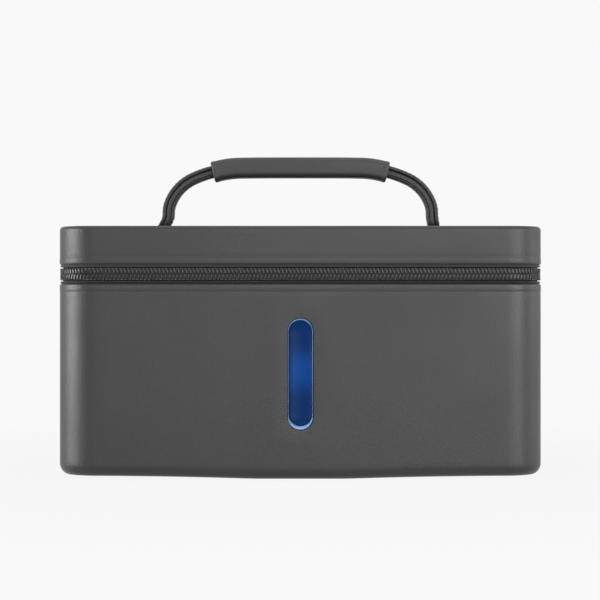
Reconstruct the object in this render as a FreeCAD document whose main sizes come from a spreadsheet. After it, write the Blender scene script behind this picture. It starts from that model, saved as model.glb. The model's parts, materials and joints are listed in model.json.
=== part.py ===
import FreeCAD, Part
import math
import os
import re

import Sketcher

# A zipped, box-shaped steriliser bag. Millimetres, +Z up, front towards -Y.
# The origin is on the flat it stands on, under the middle of the body.

SIZES = {
    # Outer body
    "body_width": 305,
    "body_depth": 190,
    "corner_radius": 24,
    "base_height": 122,
    "zipper_gap": 12.4,
    "lid_height": 24,
    "shell_wall": 3,
    "floor_level": 6,
    "rest_width": 60,
    "bottom_rise": 2.8,
    "bottom_fillet": 7.5,
    "lid_fillet": 2,
    # Sewn edges and zipper
    "hem_depth": 7,
    "hem_skin": 1,
    "tape_thickness": 0.6,
    "chain_width": 7.6,
    "mesh_gap": 1.2,
    "coil_proud": 0.15,
    "hinge_length": 204,
    "hinge_margin": 2,
    "end_stop_length": 1.6,
    # Zipper sliders
    "slider_length": 13,
    "slider_nose": 10.4,
    "slider_tail": 8.4,
    "slider_plate": 1.3,
    "slider_post": 0.6,
    "slider_post_length": 4,
    "slider_park": 25,
    "slider_spacing": 17,
    "bridge_opening": 2.45,
    "bridge_span": 3.2,
    "bridge_bar": 1.2,
    "bridge_width": 2.6,
    "tab_length": 26,
    "tab_width": 9,
    "tab_thickness": 1.6,
    "tab_bar": 1.4,
    "tab_window": 5,
    "tab_window_width": 3.6,
    # Clearance between pieces that move on each other
    "clearance": 0.3,
    "pin_clearance": 0.08,
    # Inner linings
    "liner_thickness": 0.8,
    # Handle
    "foot_spacing": 178,
    "strap_thickness": 8,
    "strap_outer_layer": 3,
    "seam_gap": 0.05,
    "strap_width": 14,
    "leg_rise": 7.3,
    "bend_radius": 30,
    "shoulder_radius": 75,
    "handle_rise": 41.3,
    "stiffener_thickness": 0.8,
    "stiffener_width": 8,
    "stiffener_depth": 1.2,
    "grip_length": 116,
    "grip_thickness": 13.6,
    "grip_width": 22,
    "grip_fillet": 5,
    "tongue_thickness": 1.6,
    "tongue_width": 8,
    "pivot_radius": 1.5,
    "pivot_head_radius": 2.6,
    "pivot_head_height": 0.4,
    "anchor_length": 26,
    "anchor_width": 20,
    "anchor_thickness": 1.5,
    "anchor_screw_spacing": 17,
    # Lid interior
    "backing_length": 268,
    "backing_width": 156,
    "backing_thickness": 3,
    "lamp_panel_length": 236,
    "lamp_panel_width": 120,
    "lamp_panel_height": 6,
    "lamp_panel_radius": 10,
    "lamp_panel_skin": 1.6,
    "lamp_well_wall": 4,
    "lamp_board_length": 210,
    "lamp_board_width": 18,
    "lamp_board_thickness": 1.6,
    "lamp_row_spacing": 62,
    "lamp_pitch": 52,
    "lamp_size": 3.5,
    "lamp_chip_height": 1.4,
    "window_radius": 7,
    "window_opening": 5.5,
    "window_thickness": 1,
    "panel_screw_inset": 7.5,
    "magnet_length": 12,
    "magnet_height": 5,
    "magnet_thickness": 3,
    "sensor_x": 60,
    "sensor_length": 14,
    "sensor_height": 10,
    "sensor_thickness": 1.6,
    "sensor_drop": 4,
    # Double bottom
    "tray_skin": 1.5,
    "tray_gap": 0.2,
    "compartment_height": 12,
    "shelf_thickness": 2.5,
    "floor_screw_inset": 23,
    "floor_boss_radius": 4,
    "battery_length": 96,
    "battery_width": 60,
    "battery_height": 8.5,
    "battery_x": 62,
    "battery_y": -10,
    "clamp_width": 12,
    "clamp_thickness": 1,
    "board_length": 116,
    "board_width": 52,
    "board_thickness": 1.6,
    "board_x": -45,
    "board_rear_gap": 2.5,
    "board_standoff": 3.2,
    "chip_size": 12,
    "chip_height": 1.6,
    "coil_size": 10,
    "connector_length": 8,
    "connector_depth": 6,
    "connector_height": 4,
    "connector_inset": 1,
    "standoff_radius": 2.6,
    "board_screw_inset": 4,
    # Charging port
    "socket_width": 9,
    "socket_height": 3.2,
    "socket_depth": 7.4,
    "socket_wall": 0.35,
    "socket_floor": 1.4,
    "port_width": 20,
    "port_height": 7.8,
    "port_opening_width": 13,
    "port_opening_height": 5.8,
    "port_flange": 2,
    "port_flange_thickness": 1,
    "cover_thickness": 1.2,
    "cover_barrel": 1,
    "cover_trunnion": 0.6,
    "cover_lug": 2,
    "cover_lug_wall": 0.4,
    # Front button
    "window_width": 16,
    "window_height": 69.4,
    "window_level": 65.7,
    "bezel_rim": 1.1,
    "bezel_proud": 0.4,
    "bezel_flange": 4,
    "bezel_flange_thickness": 1.5,
    "cap_recess": 0.8,
    "cap_dish": 2.4,
    "cap_edge": 1.3,
    "cap_flange": 1.7,
    "cap_flange_thickness": 1.5,
    "cap_travel": 0.8,
    "housing_depth": 10,
    "housing_wall": 3,
    "housing_back": 1.5,
    "button_board_thickness": 1.6,
    "button_board_gap": 0.7,
    "switch_size": 6,
    "switch_height": 3.5,
    "switch_plunger": 1.7,
    "switch_gap": 0.1,
    "indicator_size": 3,
    "indicator_height": 1.4,
    "indicator_pitch": 11,
    "return_pad_offset": 25,
    "return_pad_radius": 4,
    "return_pad_tip": 2.5,
    "housing_screw_z": 30,
    # Wiring
    "wire_radius": 1.2,
    "wire_bend": 3.6,
    "ribbon_width": 9,
    "ribbon_thickness": 0.8,
    "ribbon_x": -20,
    "duct_width": 16,
    "duct_depth": 4,
    "duct_wall": 1.2,
    "duct_rim_gap": 8,
    # Small screws
    "screw_radius": 1.2,
    "screw_head_radius": 2.2,
    "screw_head_height": 1.2,
    "screw_length": 7,
    "small_screw_radius": 0.9,
    "small_screw_head_radius": 1.4,
    "small_screw_head_height": 0.8,
}

# Edges that a fillet takes are found by their place, to within this
NEAR = 0.01

# Levels and faces that several pieces share
RIM = "base_height"
MESH = "(base_height + zipper_gap / 2)"
EDGE = "(base_height + zipper_gap)"
TOP = f"({EDGE} + lid_height)"
LID_INNER = f"({TOP} - shell_wall)"
SIDE = "(body_width / 2)"
FACE = "(body_depth / 2)"
TRAY_INSET = "(shell_wall + tray_gap)"
TRAY_FLOOR = "(floor_level + tray_skin)"
TRAY_TOP = "(floor_level + compartment_height)"
SHELF_TOP = f"({TRAY_TOP} + shelf_thickness)"
LINED = "(shell_wall + liner_thickness)"
FOOT_X = "(foot_spacing / 2)"
FOOT_RADIUS = "(strap_width / 2)"
PIVOT = f"({TOP} + clearance + {FOOT_RADIUS})"
SLOT = "(tongue_thickness + 2 * clearance)"

doc = FreeCAD.newDocument("uv_sterilizer_bag")
sheet = doc.addObject("Spreadsheet::Sheet", "dims")
for row, (alias, size) in enumerate(SIZES.items(), start=1):
    sheet.set(f"A{row}", alias)
    sheet.set(f"B{row}", str(size))
    sheet.setAlias(f"B{row}", alias)
doc.recompute()

pieces = []


def formula(text):
    """The text with each named size looked up in the sheet."""
    def named(word):
        return f"dims.{word.group(0)}" if word.group(0) in SIZES else word.group(0)

    return re.sub(r"[a-z_]+", named, str(text))


def number(text):
    return float(sheet.evalExpression(formula(text)))


def bind(thing, prop, text):
    thing.setExpression(prop, formula(text))


def piece(label, thing):
    """Names a finished sub-part, which is written to its own file."""
    thing.Label = label
    pieces.append(thing)
    return thing


# Sketches and features


def new_body(name):
    return doc.addObject("PartDesign::Body", name)


def sketch(body, role, x="0", y="0", z="0"):
    """A sketch on one of the body's origin planes, moved along that plane's own axes."""
    plane = next(f for f in body.Origin.OriginFeatures if f.Role == role)
    drawn = body.newObject("Sketcher::SketchObject", "Outline")
    drawn.AttachmentSupport = [(plane, "")]
    drawn.MapMode = "FlatFace"
    for axis, text in zip("xyz", (x, y, z)):
        bind(drawn, f"AttachmentOffset.Base.{axis}", text)
    return drawn


def dimension(drawn, kind, parts, text):
    """Adds a dimension and ties it to a formula."""
    index = drawn.addConstraint(Sketcher.Constraint(kind, *parts, number(text)))
    bind(drawn, f"Constraints[{index}]", text)


def point(x, y):
    return FreeCAD.Vector(x, y, 0)


def arc(x, y, radius, start, end):
    """An arc from one angle to another, both in degrees, counter-clockwise."""
    circle = Part.Circle(point(x, y), FreeCAD.Vector(0, 0, 1), radius)
    return Part.ArcOfCircle(circle, math.radians(start), math.radians(end))


def angle_of(x, y):
    """The direction of a point seen from the origin, in degrees."""
    return math.degrees(math.atan2(y, x))


def rounded_outline(drawn, width, height, radius):
    """A rectangle with four equal round corners, centred on the sketch's origin."""
    half_w, half_h, r = number(width) / 2, number(height) / 2, number(radius)
    a, b = half_w - r, half_h - r
    shapes = [
        Part.LineSegment(point(-a, -half_h), point(a, -half_h)),
        arc(a, -b, r, 270, 360),
        Part.LineSegment(point(half_w, -b), point(half_w, b)),
        arc(a, b, r, 0, 90),
        Part.LineSegment(point(a, half_h), point(-a, half_h)),
        arc(-a, b, r, 90, 180),
        Part.LineSegment(point(-half_w, b), point(-half_w, -b)),
        arc(-a, -b, r, 180, 270),
    ]
    ids = [drawn.addGeometry(shape) for shape in shapes]
    for first, second in zip(ids, ids[1:] + ids[:1]):
        drawn.addConstraint(Sketcher.Constraint("Tangent", first, 2, second, 1))
    for kind, index in (("Horizontal", 0), ("Vertical", 2), ("Horizontal", 4), ("Vertical", 6)):
        drawn.addConstraint(Sketcher.Constraint(kind, ids[index]))
    for index in (3, 5, 7):
        drawn.addConstraint(Sketcher.Constraint("Equal", ids[1], ids[index]))
    drawn.addConstraint(Sketcher.Constraint("Symmetric", ids[1], 3, ids[5], 3, -1, 1))
    dimension(drawn, "Radius", (ids[1],), radius)
    dimension(drawn, "DistanceX", (ids[6], 1, ids[2], 1), width)
    dimension(drawn, "DistanceY", (ids[0], 1, ids[4], 2), height)


def pill_outline(drawn, width, height):
    """An upright slot with full round ends, centred on the sketch's origin."""
    r = number(width) / 2
    b = number(height) / 2 - r
    shapes = [
        Part.LineSegment(point(r, -b), point(r, b)),
        arc(0, b, r, 0, 180),
        Part.LineSegment(point(-r, b), point(-r, -b)),
        arc(0, -b, r, 180, 360),
    ]
    ids = [drawn.addGeometry(shape) for shape in shapes]
    for first, second in zip(ids, ids[1:] + ids[:1]):
        drawn.addConstraint(Sketcher.Constraint("Tangent", first, 2, second, 1))
    for index in (0, 2):
        drawn.addConstraint(Sketcher.Constraint("Vertical", ids[index]))
    drawn.addConstraint(Sketcher.Constraint("Symmetric", ids[1], 3, ids[3], 3, -1, 1))
    dimension(drawn, "Radius", (ids[1],), f"({width}) / 2")
    dimension(drawn, "DistanceY", (ids[3], 3, ids[1], 3), f"({height}) - ({width})")


def rectangle_outline(drawn, width, height):
    """A rectangle centred on the sketch's origin."""
    a, b = number(width) / 2, number(height) / 2
    corners = [point(-a, -b), point(a, -b), point(a, b), point(-a, b)]
    ids = [
        drawn.addGeometry(Part.LineSegment(start, end))
        for start, end in zip(corners, corners[1:] + corners[:1])
    ]
    for first, second in zip(ids, ids[1:] + ids[:1]):
        drawn.addConstraint(Sketcher.Constraint("Coincident", first, 2, second, 1))
    for kind, index in (("Horizontal", 0), ("Vertical", 1), ("Horizontal", 2), ("Vertical", 3)):
        drawn.addConstraint(Sketcher.Constraint(kind, ids[index]))
    drawn.addConstraint(Sketcher.Constraint("Symmetric", ids[0], 1, ids[2], 1, -1, 1))
    dimension(drawn, "DistanceX", (ids[0], 1, ids[0], 2), width)
    dimension(drawn, "DistanceY", (ids[1], 1, ids[1], 2), height)


def circle_outline(drawn, radius):
    circle = Part.Circle(point(0, 0), FreeCAD.Vector(0, 0, 1), number(radius))
    index = drawn.addGeometry(circle)
    drawn.addConstraint(Sketcher.Constraint("Coincident", index, 3, -1, 1))
    dimension(drawn, "Radius", (index,), radius)


def taper_outline(drawn, length, nose, tail):
    """A long plate along X, wide at its nose (+X) and narrow at its tail."""
    a, b, c = number(length) / 2, number(nose) / 2, number(tail) / 2
    corners = [point(-a, -c), point(a, -b), point(a, b), point(-a, c)]
    ids = [
        drawn.addGeometry(Part.LineSegment(start, end))
        for start, end in zip(corners, corners[1:] + corners[:1])
    ]
    for first, second in zip(ids, ids[1:] + ids[:1]):
        drawn.addConstraint(Sketcher.Constraint("Coincident", first, 2, second, 1))
    for index in (1, 3):
        drawn.addConstraint(Sketcher.Constraint("Symmetric", ids[index], 1, ids[index], 2, -1))
    dimension(drawn, "DistanceX", (-1, 1, ids[1], 1), f"({length}) / 2")
    dimension(drawn, "DistanceX", (ids[3], 1, -1, 1), f"({length}) / 2")
    dimension(drawn, "DistanceY", (ids[1], 1, ids[1], 2), nose)
    dimension(drawn, "DistanceY", (ids[3], 2, ids[3], 1), tail)


def pad(body, drawn, length, middle=False, backwards=False):
    feature = body.newObject("PartDesign::Pad", "Pad")
    feature.Profile = drawn
    bind(feature, "Length", length)
    feature.Midplane = middle
    feature.Reversed = backwards
    return feature


def pocket(body, drawn, depth, middle=False, backwards=False):
    """A cut against the sketch's normal, or along it when backwards is set."""
    feature = body.newObject("PartDesign::Pocket", "Pocket")
    feature.Profile = drawn
    bind(feature, "Length", depth)
    feature.Midplane = middle
    feature.Reversed = backwards
    return feature


def edge_names(feature, wanted):
    """Names of the edges of a feature that the test accepts."""
    doc.recompute()
    edges = enumerate(feature.Shape.Edges, start=1)
    return [f"Edge{index}" for index, edge in edges if wanted(edge)]


def fillet(body, feature, radius, wanted):
    rounded = body.newObject("PartDesign::Fillet", "Fillet")
    rounded.Base = (feature, edge_names(feature, wanted))
    bind(rounded, "Radius", radius)
    return rounded


def body_outline(drawn, inset):
    """The bag's own plan outline, drawn in by an inset."""
    rounded_outline(
        drawn,
        f"body_width - 2 * ({inset})",
        f"body_depth - 2 * ({inset})",
        f"corner_radius - ({inset})",
    )


def ring_body(name, outer_inset, inner_inset, bottom, height):
    """A band that follows the plan outline between two insets."""
    body = new_body(name)
    drawn = sketch(body, "XY_Plane", z=bottom)
    body_outline(drawn, outer_inset)
    body_outline(drawn, inner_inset)
    pad(body, drawn, height)
    return body


def plate_body(name, outline, bottom, height):
    """A flat plate; outline draws on its sketch."""
    body = new_body(name)
    drawn = sketch(body, "XY_Plane", z=bottom)
    outline(drawn)
    pad(body, drawn, height)
    return body


# Part primitives and booleans

DIRECTIONS = {
    "+x": FreeCAD.Vector(1, 0, 0),
    "+y": FreeCAD.Vector(0, 1, 0),
    "-y": FreeCAD.Vector(0, -1, 0),
    "+z": FreeCAD.Vector(0, 0, 1),
    "-z": FreeCAD.Vector(0, 0, -1),
}


def place(thing, x, y, z):
    for axis, text in zip("xyz", (x, y, z)):
        bind(thing, f"Placement.Base.{axis}", text)


def box(name, length, width, height, x, y, z):
    """A box centred at x and y that stands on z."""
    made = doc.addObject("Part::Box", name)
    bind(made, "Length", length)
    bind(made, "Width", width)
    bind(made, "Height", height)
    place(made, f"({x}) - ({length}) / 2", f"({y}) - ({width}) / 2", z)
    return made


def cylinder(name, radius, length, x, y, z, direction="+z"):
    """A cylinder that starts at a point and runs in a direction."""
    made = doc.addObject("Part::Cylinder", name)
    turn = FreeCAD.Rotation(FreeCAD.Vector(0, 0, 1), DIRECTIONS[direction])
    made.Placement = FreeCAD.Placement(FreeCAD.Vector(), turn)
    bind(made, "Radius", radius)
    bind(made, "Height", length)
    place(made, x, y, z)
    return made


def cone(name, radius, tip, length, x, y, z, direction):
    made = doc.addObject("Part::Cone", name)
    turn = FreeCAD.Rotation(FreeCAD.Vector(0, 0, 1), DIRECTIONS[direction])
    made.Placement = FreeCAD.Placement(FreeCAD.Vector(), turn)
    bind(made, "Radius1", radius)
    bind(made, "Radius2", tip)
    bind(made, "Height", length)
    place(made, x, y, z)
    return made


def fuse(name, parts):
    made = doc.addObject("Part::MultiFuse", name)
    made.Shapes = parts
    made.Refine = True
    return made


def group(name, parts):
    """Separate solids that share one node."""
    made = doc.addObject("Part::Compound", name)
    made.Links = parts
    return made


def cut(name, base, tools):
    made = doc.addObject("Part::Cut", name)
    made.Base = base
    made.Tool = tools[0] if len(tools) == 1 else group(name + "_tools", tools)
    return made


def mirrored(name, half):
    """A half joined to its mirror image across the middle of the bag."""
    image = doc.addObject("Part::Mirroring", name + "_image")
    image.Source = half
    image.Base = FreeCAD.Vector(0, 0, 0)
    image.Normal = FreeCAD.Vector(1, 0, 0)
    return fuse(name, [half, image])


def screw(name, x, y, z, direction, length="screw_length", size="screw"):
    """A screw whose head stands back from its point, seen along its direction."""
    back = {"+y": (0, -1, 0), "-y": (0, 1, 0), "+z": (0, 0, -1), "-z": (0, 0, 1)}[direction]
    height = f"{size}_head_height"
    head_at = [f"({c}) + {sign} * {height}" for c, sign in zip((x, y, z), back)]
    shank = cylinder(name + "_shank", f"{size}_radius", length, x, y, z, direction)
    head = cylinder(name + "_head", f"{size}_head_radius", height, *head_at, direction)
    return fuse(name, [shank, head])


def screw_hole(name, x, y, z, direction, depth, radius="screw_radius"):
    return cylinder(name, radius, depth, x, y, z, direction)


def corners_of(x, y):
    """Four places, one in each corner."""
    return [(f"{a} * ({x})", f"{b} * ({y})") for a in (-1, 1) for b in (-1, 1)]


# Base shell: a moulded box, its floor bowed so that only the middle rests

base = new_body("base_shell_box")
outline = sketch(base, "XY_Plane")
body_outline(outline, "0")
pad(base, outline, RIM)

bow = sketch(base, "XZ_Plane")
rise = number("bottom_rise")
reach = number("(body_width - rest_width) / 2")
bow_radius = (reach * reach + rise * rise) / (2 * rise)
BOW_RADIUS = (
    "(((body_width - rest_width) / 2) ^ 2 + bottom_rise ^ 2) / (2 * bottom_rise)"
)
for sign in (-1, 1):
    start = point(sign * number("rest_width / 2"), 0)
    end = point(sign * number(SIDE), rise)
    corner = point(end.x, 0)
    middle = point(
        start.x + sign * reach / 2,
        bow_radius - (bow_radius**2 - (reach / 2) ** 2) ** 0.5,
    )
    curve = bow.addGeometry(Part.Arc(start, middle, end))
    side = bow.addGeometry(Part.LineSegment(end, corner))
    under = bow.addGeometry(Part.LineSegment(corner, start))
    start_end, end_end = (1, 2) if sign > 0 else (2, 1)
    bow.addConstraint(Sketcher.Constraint("Coincident", curve, end_end, side, 1))
    bow.addConstraint(Sketcher.Constraint("Coincident", side, 2, under, 1))
    bow.addConstraint(Sketcher.Constraint("Coincident", under, 2, curve, start_end))
    bow.addConstraint(Sketcher.Constraint("Vertical", side))
    bow.addConstraint(Sketcher.Constraint("PointOnObject", under, 1, -1))
    bow.addConstraint(Sketcher.Constraint("PointOnObject", under, 2, -1))
    dimension(bow, "Radius", (curve,), BOW_RADIUS)
    first, last = ((-1, 1), (under, 2)) if sign > 0 else ((under, 2), (-1, 1))
    dimension(bow, "DistanceX", (*first, *last), "rest_width / 2")
    first, last = ((-1, 1), (under, 1)) if sign > 0 else ((under, 1), (-1, 1))
    dimension(bow, "DistanceX", (*first, *last), SIDE)
    dimension(bow, "DistanceY", (side, 2, side, 1), "bottom_rise")
bowed = pocket(base, bow, "2 * body_depth", middle=True)
underside = number("bottom_rise") + 0.1
flat_edge = number("rest_width / 2") + NEAR


def round_the_bottom(edge):
    """True all round the underside, but not for the two lines where the flat ends."""
    middle = edge.CenterOfMass
    return edge.BoundBox.ZMax < underside and (abs(middle.x) > flat_edge or abs(middle.y) > 1)


fillet(base, bowed, "bottom_fillet", round_the_bottom)

hollow = sketch(base, "XY_Plane", z=RIM)
body_outline(hollow, "shell_wall")
pocket(base, hollow, f"{RIM} - floor_level")
rebate = sketch(base, "XY_Plane", z=RIM)
body_outline(rebate, "hem_skin")
pocket(base, rebate, "hem_depth")

window_cut = new_body("window_cut")
outline = sketch(window_cut, "XZ_Plane", y="window_level", z=FACE)
pill_outline(outline, "window_width", "window_height")
pad(window_cut, outline, "2 * shell_wall", middle=True)

PORT_Z = f"({TRAY_FLOOR} + board_standoff + board_thickness + socket_height / 2)"
port_cut = box(
    "port_cut", "port_width", "4 * shell_wall", "port_height",
    "board_x", FACE, f"{PORT_Z} - port_height / 2",
)
piece("base_shell", cut("base_shell", base, [window_cut, port_cut]))


# Lid shell: the same outline, closed at the top, with a slot for each handle tongue

lid = new_body("lid_shell_box")
outline = sketch(lid, "XY_Plane", z=EDGE)
body_outline(outline, "0")
lid_block = pad(lid, outline, "lid_height")
lid_top = number(TOP)
fillet(lid, lid_block, "lid_fillet", lambda e: e.BoundBox.ZMin > lid_top - NEAR)
hollow = sketch(lid, "XY_Plane", z=EDGE)
body_outline(hollow, "shell_wall")
pocket(lid, hollow, "lid_height - shell_wall", backwards=True)
rebate = sketch(lid, "XY_Plane", z=EDGE)
body_outline(rebate, "hem_skin")
pocket(lid, rebate, "hem_depth", backwards=True)

# The tongue stands in the fork just inside the strap's outer layer
TONGUE_X = f"({FOOT_X} + strap_thickness / 2 - strap_outer_layer - {SLOT} / 2)"
tongue_slots = [
    box(
        f"tongue_slot_{index}", "tongue_thickness", "tongue_width", "3 * shell_wall",
        f"{sign} * {TONGUE_X}", "0", f"{TOP} - 2 * shell_wall",
    )
    for index, sign in enumerate((-1, 1))
]
piece("lid_shell", cut("lid_shell", lid, tongue_slots))


# Zipper: each half is a tape sewn behind the hem, with its coil on the tape's outer face

TAPE_INNER = "(hem_skin + tape_thickness)"
HALF_CHAIN = "((chain_width - mesh_gap) / 2)"


def rear_gap(body, bottom, height):
    """Opens a band at the back, where the hinge strip joins the halves."""
    drawn = sketch(body, "XY_Plane", y=FACE, z=bottom)
    rectangle_outline(drawn, "hinge_length + 2 * hinge_margin", "corner_radius")
    pocket(body, drawn, height, backwards=True)


def zipper_half(name, tape_bottom, tape_height, coil_bottom):
    tape = ring_body(name + "_tape", "hem_skin", TAPE_INNER, tape_bottom, tape_height)
    rear_gap(tape, tape_bottom, tape_height)
    piece(name + "_tape", tape)
    coil = ring_body(name + "_coil", "-coil_proud", "hem_skin", coil_bottom, HALF_CHAIN)
    rear_gap(coil, coil_bottom, HALF_CHAIN)
    piece(name + "_coil", coil)
    stops = [
        box(
            f"{name}_stop_{index}", "end_stop_length", "hem_skin + coil_proud", HALF_CHAIN,
            f"{sign} * (hinge_length / 2 + hinge_margin - end_stop_length / 2)",
            f"{FACE} + (coil_proud - hem_skin) / 2", coil_bottom,
        )
        for index, sign in enumerate((-1, 1))
    ]
    piece(name + "_end_stops", group(name + "_end_stops", stops))


TAPE_HEIGHT = "(hem_depth + (zipper_gap - mesh_gap) / 2)"
LOWER_MESH = f"({MESH} - mesh_gap / 2)"
UPPER_MESH = f"({MESH} + mesh_gap / 2)"
zipper_half("lower_zipper", f"{RIM} - hem_depth", TAPE_HEIGHT, f"{LOWER_MESH} - {HALF_CHAIN}")
zipper_half("upper_zipper", UPPER_MESH, TAPE_HEIGHT, UPPER_MESH)

# Woven strip that joins base and lid along the back
piece("hinge_strip", box(
    "hinge_strip", "hinge_length", "tape_thickness", "zipper_gap + 2 * hem_depth",
    "0", f"{FACE} - hem_skin - tape_thickness / 2", f"{RIM} - hem_depth",
))

# Binding tapes that cover the sewn edge on the inside
piece("base_binding", ring_body(
    "base_binding", TAPE_INNER, "shell_wall", f"{RIM} - hem_depth", "hem_depth"))
piece("lid_binding", ring_body("lid_binding", TAPE_INNER, "shell_wall", EDGE, "hem_depth"))


# Zipper sliders, parked nose to nose on the right-hand side

PLATE_X = f"({SIDE} + coil_proud + clearance)"
INNER_PLATE_X = f"({SIDE} - {TAPE_INNER} - clearance)"
BAR_X = f"({PLATE_X} + slider_plate + (bridge_opening - tab_bar) / 2 + tab_bar / 2)"


def slider(name, tail):
    """A slider whose tail points along tail, -1 towards the front and 1 towards the back."""
    centre = f"(slider_park + {tail} * slider_spacing / 2)"
    body = new_body(name + "_body")
    # The sketch's X is the bag's Y, so the rear slider is drawn the other way round
    ends = ("slider_nose", "slider_tail") if tail < 0 else ("slider_tail", "slider_nose")
    outer_plate = sketch(body, "YZ_Plane", x=centre, y=MESH, z=PLATE_X)
    taper_outline(outer_plate, "slider_length", *ends)
    pad(body, outer_plate, "slider_plate")
    post = sketch(body, "YZ_Plane", y=MESH, z=INNER_PLATE_X,
                  x=f"{centre} - {tail} * (slider_length - slider_post_length) / 2")
    rectangle_outline(post, "slider_post_length", "slider_post")
    pad(body, post, f"{PLATE_X} - {INNER_PLATE_X}")
    inner_plate = sketch(body, "YZ_Plane", x=centre, y=MESH, z=f"{INNER_PLATE_X} - slider_plate")
    taper_outline(inner_plate, "slider_length", *ends)
    pad(body, inner_plate, "slider_plate")
    bridge = sketch(body, "XY_Plane", x=f"{PLATE_X} + slider_plate + bridge_opening / 2",
                    y=centre, z=MESH)
    rectangle_outline(bridge, "bridge_opening + 2 * bridge_bar", "bridge_span + 2 * bridge_bar")
    arch = pad(body, bridge, "bridge_width", middle=True)
    outer = number(f"{PLATE_X} + slider_plate + bridge_opening + bridge_bar")
    fillet(body, arch, "bridge_bar", lambda e: e.BoundBox.XMin > outer - NEAR
           and e.BoundBox.YLength < NEAR)
    eye = sketch(body, "XY_Plane", x=f"{PLATE_X} + slider_plate + bridge_opening / 2",
                 y=centre, z=MESH)
    rectangle_outline(eye, "bridge_opening", "bridge_span")
    pocket(body, eye, "2 * bridge_width", middle=True)
    return body


def pull_tab(name, tail):
    """A flat tab with a window at one end, whose end bar runs under the slider's bridge."""
    centre = f"(slider_park + {tail} * slider_spacing / 2)"
    body = new_body(name + "_body")
    drawn = sketch(body, "YZ_Plane", y=MESH, z=f"{BAR_X} - tab_thickness / 2",
                   x=f"{centre} + {tail} * (tab_length / 2 - tab_bar / 2)")
    rounded_outline(drawn, "tab_length", "tab_width", "tab_bar")
    pad(body, drawn, "tab_thickness")
    window = sketch(body, "YZ_Plane", y=MESH, z=BAR_X,
                    x=f"{centre} + {tail} * (tab_bar / 2 + tab_window / 2)")
    rectangle_outline(window, "tab_window", "tab_window_width")
    pocket(body, window, "2 * tab_thickness", middle=True)
    return body


for end, tail in (("front", -1), ("rear", 1)):
    piece(f"slider_{end}", slider(f"slider_{end}", tail))
    piece(f"pull_tab_{end}", pull_tab(f"pull_tab_{end}", tail))


# Reflective linings

liner = ring_body("base_liner_wall", "shell_wall", LINED, SHELF_TOP, f"{RIM} - {SHELF_TOP}")
liner_floor = sketch(liner, "XY_Plane", z=SHELF_TOP)
body_outline(liner_floor, "shell_wall")
pad(liner, liner_floor, "liner_thickness")
module_cut = new_body("module_cut")
outline = sketch(module_cut, "XZ_Plane", y="window_level", z=f"{FACE} - shell_wall")
pill_outline(
    outline, "window_width + 2 * bezel_flange", "window_height + 2 * bezel_flange")
pad(module_cut, outline, "4 * liner_thickness", middle=True)
WIRE_Y = f"(shell_wall + bezel_flange_thickness + housing_depth / 2 - {FACE})"
wire_hole = cylinder(
    "wire_hole", "wire_radius + clearance", "4 * shelf_thickness",
    "0", WIRE_Y, f"{TRAY_TOP} - shelf_thickness",
)
RIBBON_Y = f"({FACE} - {TRAY_INSET} - tray_skin - ribbon_thickness / 2)"
ribbon_hole = box(
    "ribbon_hole", "ribbon_width + clearance", "ribbon_thickness + clearance",
    "4 * shelf_thickness", "ribbon_x", RIBBON_Y, f"{TRAY_TOP} - shelf_thickness",
)
piece("base_liner", cut("base_liner", liner, [module_cut, wire_hole, ribbon_hole]))

LAMP_TOP = f"({LID_INNER} - backing_thickness)"
lid_liner = ring_body("lid_liner_wall", "shell_wall", LINED, EDGE, f"{LAMP_TOP} - {EDGE}")
ceiling = sketch(lid_liner, "XY_Plane", z=f"{LAMP_TOP} - liner_thickness")
body_outline(ceiling, "shell_wall")
rounded_outline(ceiling, "lamp_panel_length", "lamp_panel_width", "lamp_panel_radius")
pad(lid_liner, ceiling, "liner_thickness")
piece("lid_liner", lid_liner)


# Handle: two stitched strap layers round a steel stiffener, with a sleeve at the top

ARCH = f"({PIVOT} + handle_rise - grip_thickness / 2)"
LEG_TOP = f"({PIVOT} - {FOOT_RADIUS} + leg_rise)"
BEND_SINE = f"(({ARCH} - {LEG_TOP} - shoulder_radius) / (bend_radius - shoulder_radius))"
STRAIGHT = (
    f"({FOOT_X} - bend_radius + (bend_radius - shoulder_radius) * sqrt(1 - {BEND_SINE} ^ 2))"
)


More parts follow.
